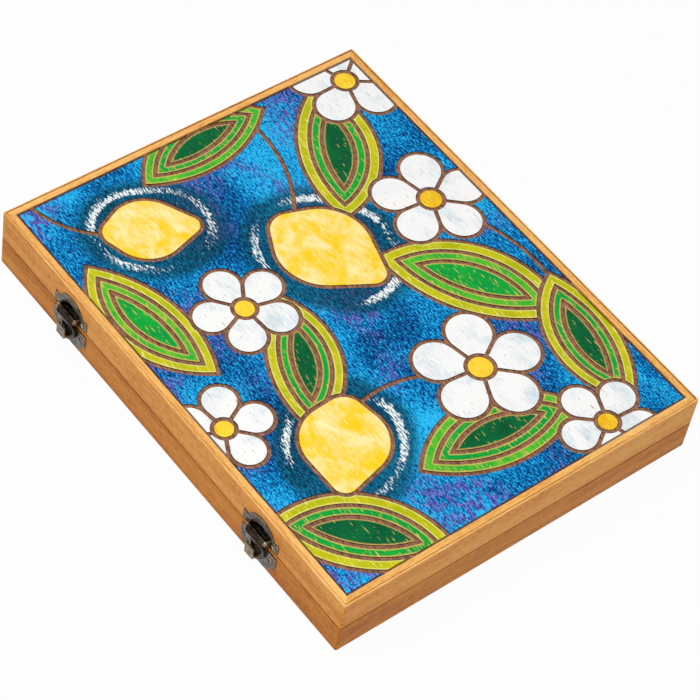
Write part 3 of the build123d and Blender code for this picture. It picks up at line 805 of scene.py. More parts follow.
def round_row(discs: Sequence[tuple[float, float]], grow: float) -> bmesh.types.BMesh:
    """A shape stretched round discs in a row along X.

    Args:
        discs: each disc's place along X and its radius.
        grow: how far the outline is drawn out.

    Returns:
        The flat shape.
    """
    turns = [math.acos((r0 - r1) / (x1 - x0)) for (x0, r0), (x1, r1) in pairwise(discs)]
    (tip, tip_radius), (tail, tail_radius) = discs[-1], discs[0]
    inner = list(zip(discs[1:-1], turns, turns[1:]))
    arcs = [Arc(tip, 0.0, tip_radius + grow, -turns[-1], turns[-1])]
    arcs += [Arc(x, 0.0, radius + grow, end, start) for (x, radius), start, end in reversed(inner)]
    arcs.append(Arc(tail, 0.0, tail_radius + grow, turns[0], 2.0 * math.pi - turns[0]))
    arcs += [Arc(x, 0.0, radius + grow, -start, -end) for (x, radius), start, end in inner]
    return outline(arcs)


def raise_up(shape: bmesh.types.BMesh, low: float, high: float) -> bmesh.types.BMesh:
    """Raise a flat shape into a closed block between two heights.

    Args:
        shape: the flat shape at height zero.
        low: the block's lower height.
        high: its upper height.

    Returns:
        The same mesh.
    """
    bmesh.ops.translate(shape, verts=shape.verts, vec=(0.0, 0.0, low))
    lifted = bmesh.ops.extrude_face_region(shape, geom=shape.faces[:])["geom"]
    corners = [item for item in lifted if isinstance(item, bmesh.types.BMVert)]
    bmesh.ops.translate(shape, verts=corners, vec=(0.0, 0.0, high - low))
    open_edges = [edge for edge in shape.edges if edge.is_boundary]
    if open_edges:
        bmesh.ops.holes_fill(shape, edges=open_edges)
    bmesh.ops.recalc_face_normals(shape, faces=shape.faces)
    return shape


class Paint(Enum):
    """The painted colours of the picture, each with the name of the piece that holds its islands."""

    RIM = "picture_leaf_rims"
    BAND = "picture_leaf_bands"
    GREEN = "picture_leaf_middles"
    HEART = "picture_leaf_hearts"
    FRUIT = "picture_fruit"
    PETAL = "picture_petals"
    EYE = "picture_blossom_eyes"


Maker = Callable[[], bmesh.types.BMesh]


@dataclass
class Region:
    """One painted island: its colour, its shape, and the shapes that are cut out of it."""

    paint: Paint
    shape: Maker
    cuts: list[Maker] = field(default_factory=list)


@dataclass(frozen=True)
class Leaf:
    """A pointed leaf in nested bands.

    bend is how much farther its left side stands out. rim and band are the widths of its two bands as a
    share of the leaf's.
    """

    spot: Spot
    length: float
    width: float
    bend: float
    paints: tuple[Paint, Paint, Paint]
    rim: float = 0.115
    band: float = 0.105
    line: float = CARVED_LINE

    def face(self, inset: float) -> Maker:
        """The leaf's outline, drawn in by an inset."""
        return lambda: self.spot.move(lens(self.length, self.width, self.bend, inset))

    def pockets(self) -> list[Maker]:
        """The shape that the leaf's carving takes out of what lies below it."""
        return [self.face(-self.line)]

    def regions(self) -> list[Region]:
        """The leaf's painted islands.

        Returns:
            Two bands and a heart.
        """
        rim = self.width * self.rim
        band = rim + self.line + self.width * self.band
        return [
            Region(self.paints[0], self.face(0.0), [self.face(rim)]),
            Region(self.paints[1], self.face(rim + self.line), [self.face(band)]),
            Region(self.paints[2], self.face(band + self.line)),
        ]


@dataclass(frozen=True)
class Fruit:
    """A round fruit with a drawn-out tip and a blunt tail.

    tail and tip give the place and the radius of the fruit's two ends, and ring the place and the length
    of the oval that its chalk ring goes round, all as shares of the fruit's radius.
    """

    spot: Spot
    radius: float
    tail: tuple[float, float] = (-0.72, 0.46)
    tip: tuple[float, float] = (1.12, 0.3)
    ring: tuple[float, float] = (0.12, 1.2)
    line: float = CARVED_LINE

    def face(self, grow: float) -> Maker:
        """The fruit's outline.

        Args:
            grow: how far it is drawn out.

        Returns:
            A maker of its flat shape.
        """
        shares = (self.tail, (0.0, 1.0), self.tip)
        discs = [(place * self.radius, size * self.radius) for place, size in shares]
        return lambda: self.spot.move(round_row(discs, grow))

    def pockets(self) -> list[Maker]:
        """The shape that the fruit's carving takes out of what lies below it."""
        return [self.face(self.line)]

    def regions(self) -> list[Region]:
        """The fruit's body."""
        return [Region(Paint.FRUIT, self.face(0.0))]

    def halo(self) -> Halo:
        """The ring of chalk round the fruit.

        Returns:
            The ring.
        """
        turn = math.radians(self.spot.turn)
        ahead, half_length = (share * self.radius for share in self.ring)
        x, y = self.spot.x + ahead * math.cos(turn), self.spot.y + ahead * math.sin(turn)
        return Halo(x, y, half_length, self.radius, turn)


@dataclass(frozen=True)
class Blossom:
    """A flower of round petals with an eye in its middle.

    root is how far out the petals start and eye_share the radius of the eye, as shares of the flower's
    width across.
    """

    spot: Spot
    across: float
    petals: int = 5
    root: float = 0.13
    eye_share: float = 0.095
    line: float = CARVED_LINE

    @property
    def eye(self) -> float:
        """Radius of the eye."""
        return self.across * self.eye_share

    def petal(self, number: int, grow: float) -> Maker:
        """One petal, which fills its share of the flower but for half a carved line on each side.

        Args:
            number: which petal, counted round the flower.
            grow: how far its outline is drawn out.

        Returns:
            A maker of its flat shape.
        """

        def shape() -> bmesh.types.BMesh:
            """The petal in its place.

            Returns:
                The flat shape.
            """
            wedge = math.sin(math.pi / self.petals)
            ends = (self.root * self.across, (self.across + self.line) / 2.0 / (1.0 + wedge))
            piece = round_row([(reach, reach * wedge - self.line / 2.0) for reach in ends], grow)
            return self.spot.move(Spot(0.0, 0.0, 360.0 * number / self.petals).move(piece))

        return shape

    def middle(self, radius: float) -> Maker:
        """A disc in the flower's middle."""
        return lambda: self.spot.move(disc(radius))

    def pockets(self) -> list[Maker]:
        """The shapes that the flower's carving takes out of what lies below it."""
        petals = [self.petal(number, self.line) for number in range(self.petals)]
        return [*petals, self.middle(self.eye + self.line)]

    def regions(self) -> list[Region]:
        """The flower's painted islands.

        Returns:
            The petals and the eye.
        """
        around = self.middle(self.eye + self.line)
        whites = [Region(Paint.PETAL, self.petal(number, 0.0), [around]) for number in range(self.petals)]
        return [*whites, Region(Paint.EYE, self.middle(self.eye))]


@dataclass(frozen=True)
class Twig:
    """A carved line along an arc, cut into the ground alone.

    It runs from one place to another, and its middle rises to the left of the way between them.
    """

    start_x: float
    start_y: float
    end_x: float
    end_y: float
    rise: float
    width: float = 2.6
    steps: int = 24

    def shape(self) -> bmesh.types.BMesh:
        """The flat strip.

        Returns:
            The flat shape.
        """
        start, end = Vector((self.start_x, self.start_y, 0.0)), Vector((self.end_x, self.end_y, 0.0))
        way = end - start
        left = Vector((-way.y, way.x, 0.0)).normalized()
        radius = (way.length_squared / 4.0 + self.rise**2) / (2.0 * self.rise)
        centre = (start + end) / 2.0 + left * (self.rise - radius)
        reach = (start - centre).normalized() * self.width / 2.0
        strip = bmesh.new()
        ends = [strip.verts.new(start - reach), strip.verts.new(start + reach)]
        edge = strip.edges.new(ends)
        sweep = -2.0 * math.asin(way.length / 2.0 / radius)
        bmesh.ops.spin(
            strip, geom=[*ends, edge], cent=centre, axis=(0.0, 0.0, 1.0), angle=sweep, steps=self.steps
        )
        return strip

    def pockets(self) -> list[Maker]:
        """The strip that is cut into the ground."""
        return [self.shape]

    def regions(self) -> list[Region]:
        """No painted islands."""
        return []


Motif = Leaf | Fruit | Blossom | Twig


@dataclass
class Picture:
    """The lid's carved and painted panel.

    Its sizes are millimetres. The motifs are listed from the lowest to the uppermost, and an upper one
    hides what it crosses. top is the height of the painted faces, depth how deep the carving is, edge how
    wide the islands' edges are softened, and merge how near two corners are joined. A cutting block
    reaches past what it cuts by over. Faces whose normals point up by more than upward are seen from
    above.
    """

    motifs: Sequence[Motif]
    finishes: dict[Paint, bpy.types.Material]
    ground: bpy.types.Material
    carved: bpy.types.Material
    cut: bpy.types.Material
    length: float = PANEL_LENGTH
    width: float = PANEL_WIDTH
    top: float = 39.2
    thickness: float = 3.0
    depth: float = 0.7
    edge: float = 0.22
    merge: float = 0.002
    over: float = 1.0
    upward: float = 0.35
    scratch_pad: bpy.types.Collection = field(init=False)

    def __post_init__(self) -> None:
        """Open the collection that the cutting blocks are kept in while the picture is made."""
        self.scratch_pad = bpy.data.collections.new("carving_blocks")

    @property
    def floor(self) -> float:
        """Height of the bottom of the carving."""
        return self.top - self.depth

    def block(self, makers: Iterable[Maker], low: float, high: float, name: str) -> bpy.types.Object:
        """One block raised from some shapes, which may overlap.

        Args:
            makers: makers of the flat shapes.
            low: the block's lower height.
            high: its upper height.
            name: the object's name.

        Returns:
            The object.
        """
        made = []
        for maker in makers:
            mesh = bpy.data.meshes.new(name)
            piece = raise_up(maker(), low, high)
            piece.to_mesh(mesh)
            piece.free()
            made.append(bpy.data.objects.new(name, mesh))
            self.scratch_pad.objects.link(made[-1])
        if len(made) > 1:
            self.carve(made[0], made[1:], "UNION")
        return made[0]

    def board(self, name: str, low: float, high: float) -> bpy.types.Object:
        """A block of the panel's own length and width.

        Args:
            name: the object's name.
            low: the block's lower height.
            high: its upper height.

        Returns:
            The object.
        """
        mesh = bpy.data.meshes.new(name)
        shape = bmesh.new()
        size = Matrix.Diagonal((self.length, self.width, high - low, 1.0))
        middle = Matrix.Translation((0.0, 0.0, (low + high) / 2.0))
        bmesh.ops.create_cube(shape, size=1.0, matrix=middle @ size)
        shape.to_mesh(mesh)
        shape.free()
        made = bpy.data.objects.new(name, mesh)
        self.scratch_pad.objects.link(made)
        return made

    def carve(self, target: bpy.types.Object, cutters: Sequence[bpy.types.Object], kind: str) -> None:
        """Cut an object with others, join it to them, or keep only what lies inside them.

        Args:
            target: the object to change.
            cutters: the blocks that cut it.
            kind: DIFFERENCE, INTERSECT or UNION.
        """
        for cutter in cutters:
            cut = target.modifiers.new("cut", "BOOLEAN")
            cut.operation = kind
            cut.solver = "EXACT"
            cut.object = cutter
        bpy.context.view_layer.update()
        seen = target.evaluated_get(bpy.context.evaluated_depsgraph_get())
        mesh = bpy.data.meshes.new_from_object(seen)
        target.modifiers.clear()
        target.data = mesh

    def finish(
        self, blocks: Sequence[bpy.types.Object], name: str, paint: bpy.types.Material
    ) -> bpy.types.Object:
        """Join carved blocks into one piece, soften its upper edges and paint it.

        Args:
            blocks: the carved blocks.
            name: the piece's name.
            paint: the finish of its upper face; the lines' bottoms show the carved wood and their sides
                the burnt wood, darker partly as painted shade.

        Returns:
            The finished piece, in metres.
        """
        shape = bmesh.new()
        for block in blocks:
            shape.from_mesh(block.data)
        bmesh.ops.remove_doubles(shape, verts=shape.verts, dist=self.merge)
        bmesh.ops.dissolve_degenerate(shape, edges=shape.edges, dist=self.merge)
        rim = [
            edge
            for edge in shape.edges
            if len(edge.link_faces) == 2
            and sum(face.normal.z > LEVEL for face in edge.link_faces) == 1
            and min(corner.co.z for corner in edge.verts) > self.top - UNSEEN
        ]
        bmesh.ops.bevel(
            shape,
            geom=rim,
            offset=self.edge,
            affect="EDGES",
            segments=2,
            profile=0.5,
            material=-1,
            clamp_overlap=True,
        )
        for face in shape.faces:
            height = face.calc_center_median().z
            if face.normal.z > self.upward:
                face.material_index = 0 if height > self.top - self.edge else 1
            else:
                # The lines' sides: darker burnt wood, partly painted shade
                face.material_index = 2
            face.smooth = False
        bmesh.ops.scale(shape, vec=(MM, MM, MM), verts=shape.verts)
        mesh = bpy.data.meshes.new(name)
        shape.to_mesh(mesh)
        shape.free()
        for finish in (paint, self.carved, self.cut):
            mesh.materials.append(finish)
        piece = bpy.data.objects.new(name, mesh)
        bpy.context.scene.collection.objects.link(piece)
        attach(piece, "lid")
        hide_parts("lid_picture_panel")
        LOG.info("%s: %d faces", name, len(mesh.polygons))
        return piece

    def make(self) -> list[bpy.types.Object]:
        """Carve the ground, raise every painted island, and clear the blocks away.

        Returns:
            The ground and one piece for each colour.
        """
        bpy.context.scene.collection.children.link(self.scratch_pad)
        low, high = self.floor, self.top + self.over
        pockets = [self.block(motif.pockets(), low, high, "pocket") for motif in self.motifs]
        ground = self.board("ground", self.top - self.thickness, self.top)
        self.carve(ground, pockets, "DIFFERENCE")
        frame_block = self.board("frame", low - self.over, high)
        islands: dict[Paint, list[bpy.types.Object]] = {paint: [] for paint in Paint}
        for number, motif in enumerate(self.motifs):
            for region in motif.regions():
                island = self.block([region.shape], low, self.top, "island")
                inner = [self.block([cut], low - self.over, high, "inner") for cut in region.cuts]
                above = [other for other in pockets[number + 1 :] if self.touches(island, other)]
                self.carve(island, [*inner, *above], "DIFFERENCE")
                if self.crosses_edge(island):
                    self.carve(island, [frame_block], "INTERSECT")
                islands[region.paint].append(island)
        pieces = [self.finish([ground], "picture_ground", self.ground)]
        for paint, blocks in islands.items():
            pieces.append(self.finish(blocks, paint.value, self.finishes[paint]))
        for block in list(self.scratch_pad.objects):
            bpy.data.objects.remove(block)
        bpy.data.collections.remove(self.scratch_pad)
        return pieces

    @staticmethod
    def touches(first: bpy.types.Object, second: bpy.types.Object) -> bool:
        """Tell whether the boxes of two blocks overlap in plan.

        Args:
            first: one block.
            second: the other.

        Returns:
            True where they overlap.
        """
        for axis in (0, 1):
            here = [corner.co[axis] for corner in first.data.vertices]
            there = [corner.co[axis] for corner in second.data.vertices]
            if min(here) >= max(there) or min(there) >= max(here):
                return False
        return True

    def crosses_edge(self, block: bpy.types.Object) -> bool:
        """Tell whether a block reaches past the panel's edge.

        Args:
            block: the block.

        Returns:
            True where it does.
        """
        reach_x, reach_y = self.length / 2.0, self.width / 2.0
        places = [corner.co for corner in block.data.vertices]
        return any(abs(place.x) > reach_x or abs(place.y) > reach_y for place in places)


# Wood, metal and small pieces that keep their own shape


class Timber(Enum):
    """The woods of the walls, each with its pale, middle and deep tone."""

    HONEY = (srgb(255, 198, 106), srgb(254, 176, 86), srgb(218, 134, 54))
    # Painted shade: the base's wood, darker and redder than the lid's, lower on the case
    SHADED_RUSSET = (srgb(238, 160, 68), srgb(222, 140, 48), srgb(178, 98, 28))
    # Painted light: a paler copy for the lip's top, also used on inside faces and the dividers
    LIT_LIP = (srgb(252, 202, 124), srgb(240, 179, 100), srgb(214, 144, 70))
    # Painted shade: a darker copy for the lip's groove
    SHADED_GROOVE = (srgb(184, 114, 58), srgb(160, 94, 44), srgb(124, 68, 30))
    # Painted highlight: a paler copy for the outer arris
    ARRIS_HIGHLIGHT = (srgb(250, 202, 128), srgb(242, 184, 110), srgb(222, 154, 82))


class WallFace(IntEnum):
    """The kinds of face that a wall has, in the order of its finishes."""

    OUTSIDE = 0
    INSIDE = 1
    SHADED_GROOVE = 2
    ARRIS_HIGHLIGHT = 3
    SHADED_RECESS = 4


@dataclass
class Assembly:
    """Pieces that keep the shape that they came with. nodes holds them by their names."""

    nodes: dict[str, bpy.types.Object]

    def dress(
        self,
        name: str,
        *finishes: bpy.types.Material,
        choose: Callable[[bpy.types.MeshPolygon], int] | None = None,
    ) -> None:
        """Give one piece its finishes in place of what it came with.

        Args:
            name: the piece's name.
            *finishes: its materials.
            choose: gives the number of the finish that a face has. Every face has the first if it is
                left out.
        """
        mesh = self.nodes[name].data
        mesh.materials.clear()
        for finish in finishes:
            mesh.materials.append(finish)
        for face in mesh.polygons:
            face.material_index = choose(face) if choose else 0
        LOG.info("%s: %s", name, finishes[0].name)


@dataclass
class Trays(Assembly):
    """The walls and rack dividers of both trays, with their sizes in millimetres.

    half_length and half_width reach from the case's middle to its outside, and seam is the height of the
    parting line. The top of the lip lies above lip_low, and its faces' normals point up by more than
    upward. Going inwards it has an arris as far as arris_in, a groove as far as groove_in, and then its
    flat. Each latch has a round pocket behind it, pocket_x to the side of the middle, pocket_reach wide
    to each side, between two heights and two depths.
    """

    half_length: float = 150.0
    half_width: float = 119.0
    seam: float = 20.0
    lip_low: float = 38.9
    upward: float = 0.3
    arris_in: float = 1.1
    groove_in: float = 1.6
    pocket_x: float = 84.0
    pocket_reach: float = 6.6
    pocket_heights: tuple[float, float] = (23.0, 33.0)
    pocket_depths: tuple[float, float] = (0.05, 2.5)

    def wood(self, timber: Timber, grain: Grain) -> bpy.types.Material:
        """One of the woods, with painted shade along the parting line where it is the outside.

        Args:
            timber: which wood.
            grain: the way that its grain runs.

        Returns:
            The material.
        """
        outside = timber in (Timber.HONEY, Timber.SHADED_RUSSET)
        name = f"{timber.name}_wood_{grain.name}".lower()
        return LacqueredWood(name, *timber.value, grain=grain, seam=self.seam if outside else 0.0).make()

    def in_a_pocket(self, x: float, y: float, z: float) -> bool:
        """Tell whether a place is in the pocket behind a latch.

        Args:
            x: the place along the case's length, in millimetres.
            y: the place across it.
            z: the height.

        Returns:
            True in a pocket.
        """
        (low, high), (shallow, deep) = self.pocket_heights, self.pocket_depths
        beside = abs(abs(x) - self.pocket_x) < self.pocket_reach
        return beside and low < z < high and shallow < self.half_width + y < deep

    def kind_of(self, face: bpy.types.MeshPolygon) -> WallFace:
        """Tell what kind of face one of a wall's faces is.

        Args:
            face: the face.

        Returns:
            Its kind.
        """
        x, y, z = face.center / MM
        inward = min(self.half_length - abs(x), self.half_width - abs(y))
        if z > self.lip_low and face.normal.z > self.upward:
            if inward > self.groove_in:
                return WallFace.INSIDE
            return WallFace.ARRIS_HIGHLIGHT if inward < self.arris_in else WallFace.SHADED_GROOVE
        if self.in_a_pocket(x, y, z):
            return WallFace.SHADED_RECESS
        upright = abs(face.normal.z) < LEVEL
        return WallFace.OUTSIDE if inward < self.arris_in and upright else WallFace.INSIDE

    def make(self) -> None:
        """Dress the walls and dividers in wood, with the grain along each of them, and the pockets behind
        the latches in painted shade.
        """
        # Painted shade: the pockets behind the latches dressed near black
        recess_shade = CarvedWood("painted_recess_shade", srgb(14, 9, 7), srgb(6, 4, 3)).make()
        for grain, sides in ((Grain.ALONG_X, ("front", "back")), (Grain.ALONG_Y, ("left", "right"))):
            # Besides the lid's wood, these are the base's darker wood as painted shade, the lip's paler
            # copy as painted light, the groove's darker copy as painted shade and the arris's paler copy
            # as painted highlight
            honey, russet, lip, groove, arris = (self.wood(timber, grain) for timber in Timber)
            for side in sides:
                self.dress(f"lid_{side}_wall", honey, lip, groove, arris, recess_shade, choose=self.kind_of)
                self.dress(f"base_{side}_wall", russet, lip, choose=self.kind_of)
            if grain is Grain.ALONG_X:
                self.dress("lid_rack_divider", lip)
                self.dress("base_rack_divider", lip)


@dataclass
class PlayingField(Assembly):
    """The bottom panel, the two field boards and their inlaid points."""

    def make(self) -> None:
        """Dress the boards in veneer and the points in a pale and a dark inlay."""
        veneer = (srgb(214, 150, 92), srgb(190, 126, 70), srgb(150, 94, 48))
        bottom = LacqueredWood("bottom_veneer", *veneer, Grain.ALONG_X, rough=0.5)
        veneer = (srgb(206, 150, 92), srgb(186, 126, 70), srgb(156, 98, 50))
        board = LacqueredWood("field_veneer", *veneer, Grain.ALONG_Y, rough=0.4).make()
        maple = (srgb(244, 220, 172), srgb(234, 204, 150), srgb(214, 178, 120))
        pale = LacqueredWood("light_inlay", *maple, Grain.ALONG_X, pores=0.15).make()
        walnut = (srgb(112, 66, 40), srgb(82, 46, 28), srgb(50, 27, 17))
        deep = LacqueredWood("dark_inlay", *walnut, Grain.ALONG_X, pores=0.5).make()
        self.dress("base_bottom_panel", bottom.make())
        for tray in ("base", "lid"):
            self.dress(f"{tray}_field_board", board)
            self.dress(f"{tray}_points_light", pale)
            self.dress(f"{tray}_points_dark", deep)


@dataclass
class Fittings(Assembly):
    """The latches, the hinges and what holds them.

    hook_front is where the fronts of the hooks lie along Y, in millimetres; they are lighter, partly worn
    and partly a painted highlight.
    """

    hook_front: float = -124.6

    def hook_finish(self, face: bpy.types.MeshPolygon) -> int:
        """The number of a keeper's finish: the second on the front of its hook, or else the first."""
        return 1 if face.center.y < self.hook_front * MM else 0

    def make(self) -> None:
        """Dress them in aged plating: a darker copy on levers, pins and nails as painted shade, and a
        lighter copy on the hooks' fronts, partly worn and partly a painted highlight.
        """
        wear_and_highlight = srgb(238, 212, 168)
        pewter = AgedBronze("grey_plating", srgb(50, 44, 40), srgb(120, 109, 100), wear_and_highlight).make()
        # Painted shade: a darker copy of the plating for the levers, pins and nails, with wider painted
        # highlights on its edges
        dark = AgedBronze("shaded_dark_plating", srgb(14, 11, 9), srgb(66, 54, 44), wear_and_highlight, 0.8).make()
        # Partly wear, partly painted highlight: a lighter copy of the plating for the hooks' fronts
        bright = AgedBronze("worn_and_highlit_plating", srgb(88, 74, 58), srgb(150, 130, 102), wear_and_highlight).make()
        for name in self.nodes:
            if name.startswith("latch_") and name.endswith(("_lever", "_pin", "_nails")):
                self.dress(name, dark)
            elif name.endswith("_keeper"):
                self.dress(name, pewter, bright, choose=self.hook_finish)
            elif name.startswith(("latch_", "hinge_")):
                self.dress(name, pewter)


@dataclass
class Checkers(Assembly):
    """The two rows of checkers, whose common axis has this Y and Z in millimetres."""

    axis_y: float = -96.0
    axis_z: float = 18.3

    def make(self) -> None:
        """Dress them in turned wood, one row pale and one dark."""
        axis = (self.axis_y * MM, self.axis_z * MM)
        pale = TurnedWood("pale_turned_wood", srgb(246, 208, 146), srgb(218, 168, 100), *axis)
        dark = TurnedWood("dark_turned_wood", srgb(112, 60, 34), srgb(56, 28, 16), *axis)
        self.dress("light_checkers", pale.make())
        self.dress("dark_checkers", dark.make())


@dataclass
class Dice(Assembly):
    """The two dice.

    A pip's faces lie more than sunk below the die's faces and more than from_edge in from its edges, in
    millimetres.
    """

    sunk: float = 0.02
    from_edge: float = 1.4

    def finish_of(self, face: bpy.types.MeshPolygon, middle: Vector, half: float) -> int:
        """Tell which finish a face of a die has.

        Args:
            face: the face.
            middle: the die's middle.
            half: half of the die's size.

        Returns:
            1 in a pip, or else 0.
        """
        _, second, most = sorted(abs(value) for value in face.center - middle)
        return 1 if most < half - self.sunk * MM and second < half - self.from_edge * MM else 0

    def make(self) -> None:
        """Dress them in ivory-coloured plastic, with dark paint in the pips."""
        ivory = Moulded("ivory_plastic", srgb(244, 236, 214), srgb(236, 224, 194), 0.22).make()
        paint = Moulded("pip_paint", srgb(34, 26, 24), srgb(20, 16, 16), 0.35).make()
        for name in ("die_1", "die_2"):
            low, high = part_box(name)
            finish_of = partial(self.finish_of, middle=(low + high) / 2.0, half=(high.x - low.x) / 2.0)
            self.dress(name, ivory, paint, choose=finish_of)


# The studio


@dataclass(frozen=True)
class Lamp:
    """A square lamp that looks at the case, with its place and side in metres and its power in watts."""

    name: str
    place: tuple[float, float, float]
    size: float
    watts: float

    def hang(self) -> None:
        """Hang the lamp in its place."""
        data = bpy.data.lights.new(self.name, "AREA")
        data.shape, data.size, data.energy = "SQUARE", self.size, self.watts
        lamp = bpy.data.objects.new(self.name, data)
        bpy.context.scene.collection.objects.link(lamp)
        turn = (-Vector(self.place)).to_track_quat("-Z", "Y").to_matrix().to_4x4()
        lamp.matrix_world = Matrix.Translation(self.place) @ turn


@dataclass(frozen=True)
class Studio:
    """The pale floor, the soft lamps and the camera, in metres.

    place and aim are the camera's, lean its roll in degrees, and lens its focal length in millimetres.
    sky is the strength of the light from all round. The floor reaches floor_reach to each side. It has
    the colour paper, and to the camera it glows as strongly as glow says, by a share of shown. window is
    half the length and half the width of the opening in it under the case, through which the underside
    is lit and seen from below, and sunk is how far it lies below the case.
    """

    place: tuple[float, float, float] = (0.65982, -0.69349, 1.17322)
    aim: tuple[float, float, float] = (0.01322, -0.00627, 0.020)
    lean: float = 11.37
    lens: float = 143.99
    sky: float = 0.4
    lamps: tuple[Lamp, ...] = (
        Lamp("key_lamp", (0.44, -0.52, 1.52), 0.9, 14.5),
        Lamp("side_lamp", (-0.5, -0.62, 1.42), 0.45, 4.0),
        Lamp("fill_lamp", (-1.3, 0.5, 1.2), 1.2, 3.0),
    )
    floor_reach: float = 6.0
    paper: Colour = srgb(180, 176, 172)
    glow: float = 1.02
    shown: float = 0.94
    window: tuple[float, float] = (0.149, 0.118)
    sunk: float = 0.0001

    def camera(self) -> None:
        """Set the camera where the photograph was taken from."""
        data = bpy.data.cameras.new("photo_camera")
        data.lens = self.lens
        data.clip_start, data.clip_end = 0.05, 30.0
        camera = bpy.data.objects.new("photo_camera", data)
        bpy.context.scene.collection.objects.link(camera)
        look = Vector(self.aim) - Vector(self.place)
        turn = look.to_track_quat("-Z", "Y").to_matrix().to_4x4()
        lean = Matrix.Rotation(math.radians(self.lean), 4, "Z")
        camera.matrix_world = Matrix.Translation(self.place) @ turn @ lean
        bpy.context.scene.camera = camera

    @staticmethod
    def seen_rays(tree: bpy.types.NodeTree) -> Socket:
        """Tell what is only seen from what gives light.

        Args:
            tree: the tree that asks.

        Returns:
            A value of 1 for what the camera, a gloss or a glass shows, and 0 for light itself.
        """
        rays = tree.nodes.new("ShaderNodeLightPath")
        share = rays.outputs["Is Camera Ray"]
        for name in ("Is Glossy Ray", "Is Transmission Ray"):
            most = tree.nodes.new("ShaderNodeMath")
            most.operation = "MAXIMUM"
            tree.links.new(share, most.inputs[0])
            tree.links.new(rays.outputs[name], most.inputs[1])
            share = most.outputs["Value"]
        return share

    @staticmethod
    def mix(tree: bpy.types.NodeTree, share: Socket, lit: Socket, seen: Socket) -> Socket:
        """Mix what gives light with what is seen.

        Args:
            tree: the tree that both are in.
            share: how much of what is seen shows, from 0 to 1.
            lit: the shader that gives light.
            seen: the shader that is seen.

        Returns:
            The mixed shader.
        """
        mix = tree.nodes.new("ShaderNodeMixShader")
        for place, socket in enumerate((share, lit, seen)):
            tree.links.new(socket, mix.inputs[place])
        return mix.outputs["Shader"]

    def surroundings(self) -> None:
        """Set up a plain sky that lights softly and is seen as white."""
        world = bpy.data.worlds.new("studio")
        bpy.context.scene.world = world
        world.use_nodes = True
        tree = world.node_tree
        light = tree.nodes["Background"]
        light.inputs["Color"].default_value = srgb(255, 255, 255)
        light.inputs["Strength"].default_value = self.sky
        seen = tree.nodes.new("ShaderNodeBackground")
        seen.inputs["Color"].default_value = srgb(255, 255, 255)
        lit, white = light.outputs["Background"], seen.outputs["Background"]
        shown = self.mix(tree, self.seen_rays(tree), lit, white)
        tree.links.new(shown, tree.nodes["World Output"].inputs["Surface"])

    def floor_finish(self) -> bpy.types.Material:
        """Make the floor's material, which takes a shadow and is seen as white.

        Returns:
            The material.
        """
        material = bpy.data.materials.new("pale_floor")
        material.use_nodes = True
        tree = material.node_tree
        paper = tree.nodes["Principled BSDF"]
        paper.inputs["Base Color"].default_value = self.paper
        paper.inputs["Roughness"].default_value = 0.9
        paper.inputs["Specular IOR Level"].default_value = 0.1
        glow = tree.nodes.new("ShaderNodeEmission")
        glow.inputs["Strength"].default_value = self.glow
        share = tree.nodes.new("ShaderNodeMath")
        share.operation = "MULTIPLY"
        share.inputs[1].default_value = self.shown
        tree.links.new(self.seen_rays(tree), share.inputs[0])
        shown = self.mix(tree, share.outputs["Value"], paper.outputs["BSDF"], glow.outputs["Emission"])
        tree.links.new(shown, tree.nodes["Material Output"].inputs["Surface"])
        return material

    def floor(self) -> None:
        """Lay the floor, open under the case."""
        mesh = bpy.data.meshes.new("floor")
        shape = bmesh.new()
        bmesh.ops.create_grid(shape, x_segments=3, y_segments=3, size=self.floor_reach)
        for corner in shape.verts:
            for axis, half in enumerate(self.window):
                if abs(corner.co[axis]) < self.floor_reach / 2.0:
                    corner.co[axis] = math.copysign(half, corner.co[axis])
            corner.co.z = -self.sunk
        middle = min(shape.faces, key=lambda face: face.calc_center_median().length)
        bmesh.ops.delete(shape, geom=[middle], context="FACES")
        shape.to_mesh(mesh)
        shape.free()
        mesh.materials.append(self.floor_finish())
        floor = bpy.data.objects.new("floor", mesh)
        bpy.context.scene.collection.objects.link(floor)

    def make(self) -> None:
        """Set up the whole studio."""
        self.surroundings()
        self.floor()
        for lamp in self.lamps:
            lamp.hang()
        self.camera()
        bpy.context.scene.view_settings.view_transform = "Standard"


# The picture's design

LEAVES_FRESH = (Paint.RIM, Paint.BAND, Paint.GREEN)
LEAVES_DEEP = (Paint.RIM, Paint.GREEN, Paint.HEART)
LEAVES_BRIGHT = (Paint.BAND, Paint.GREEN, Paint.HEART)

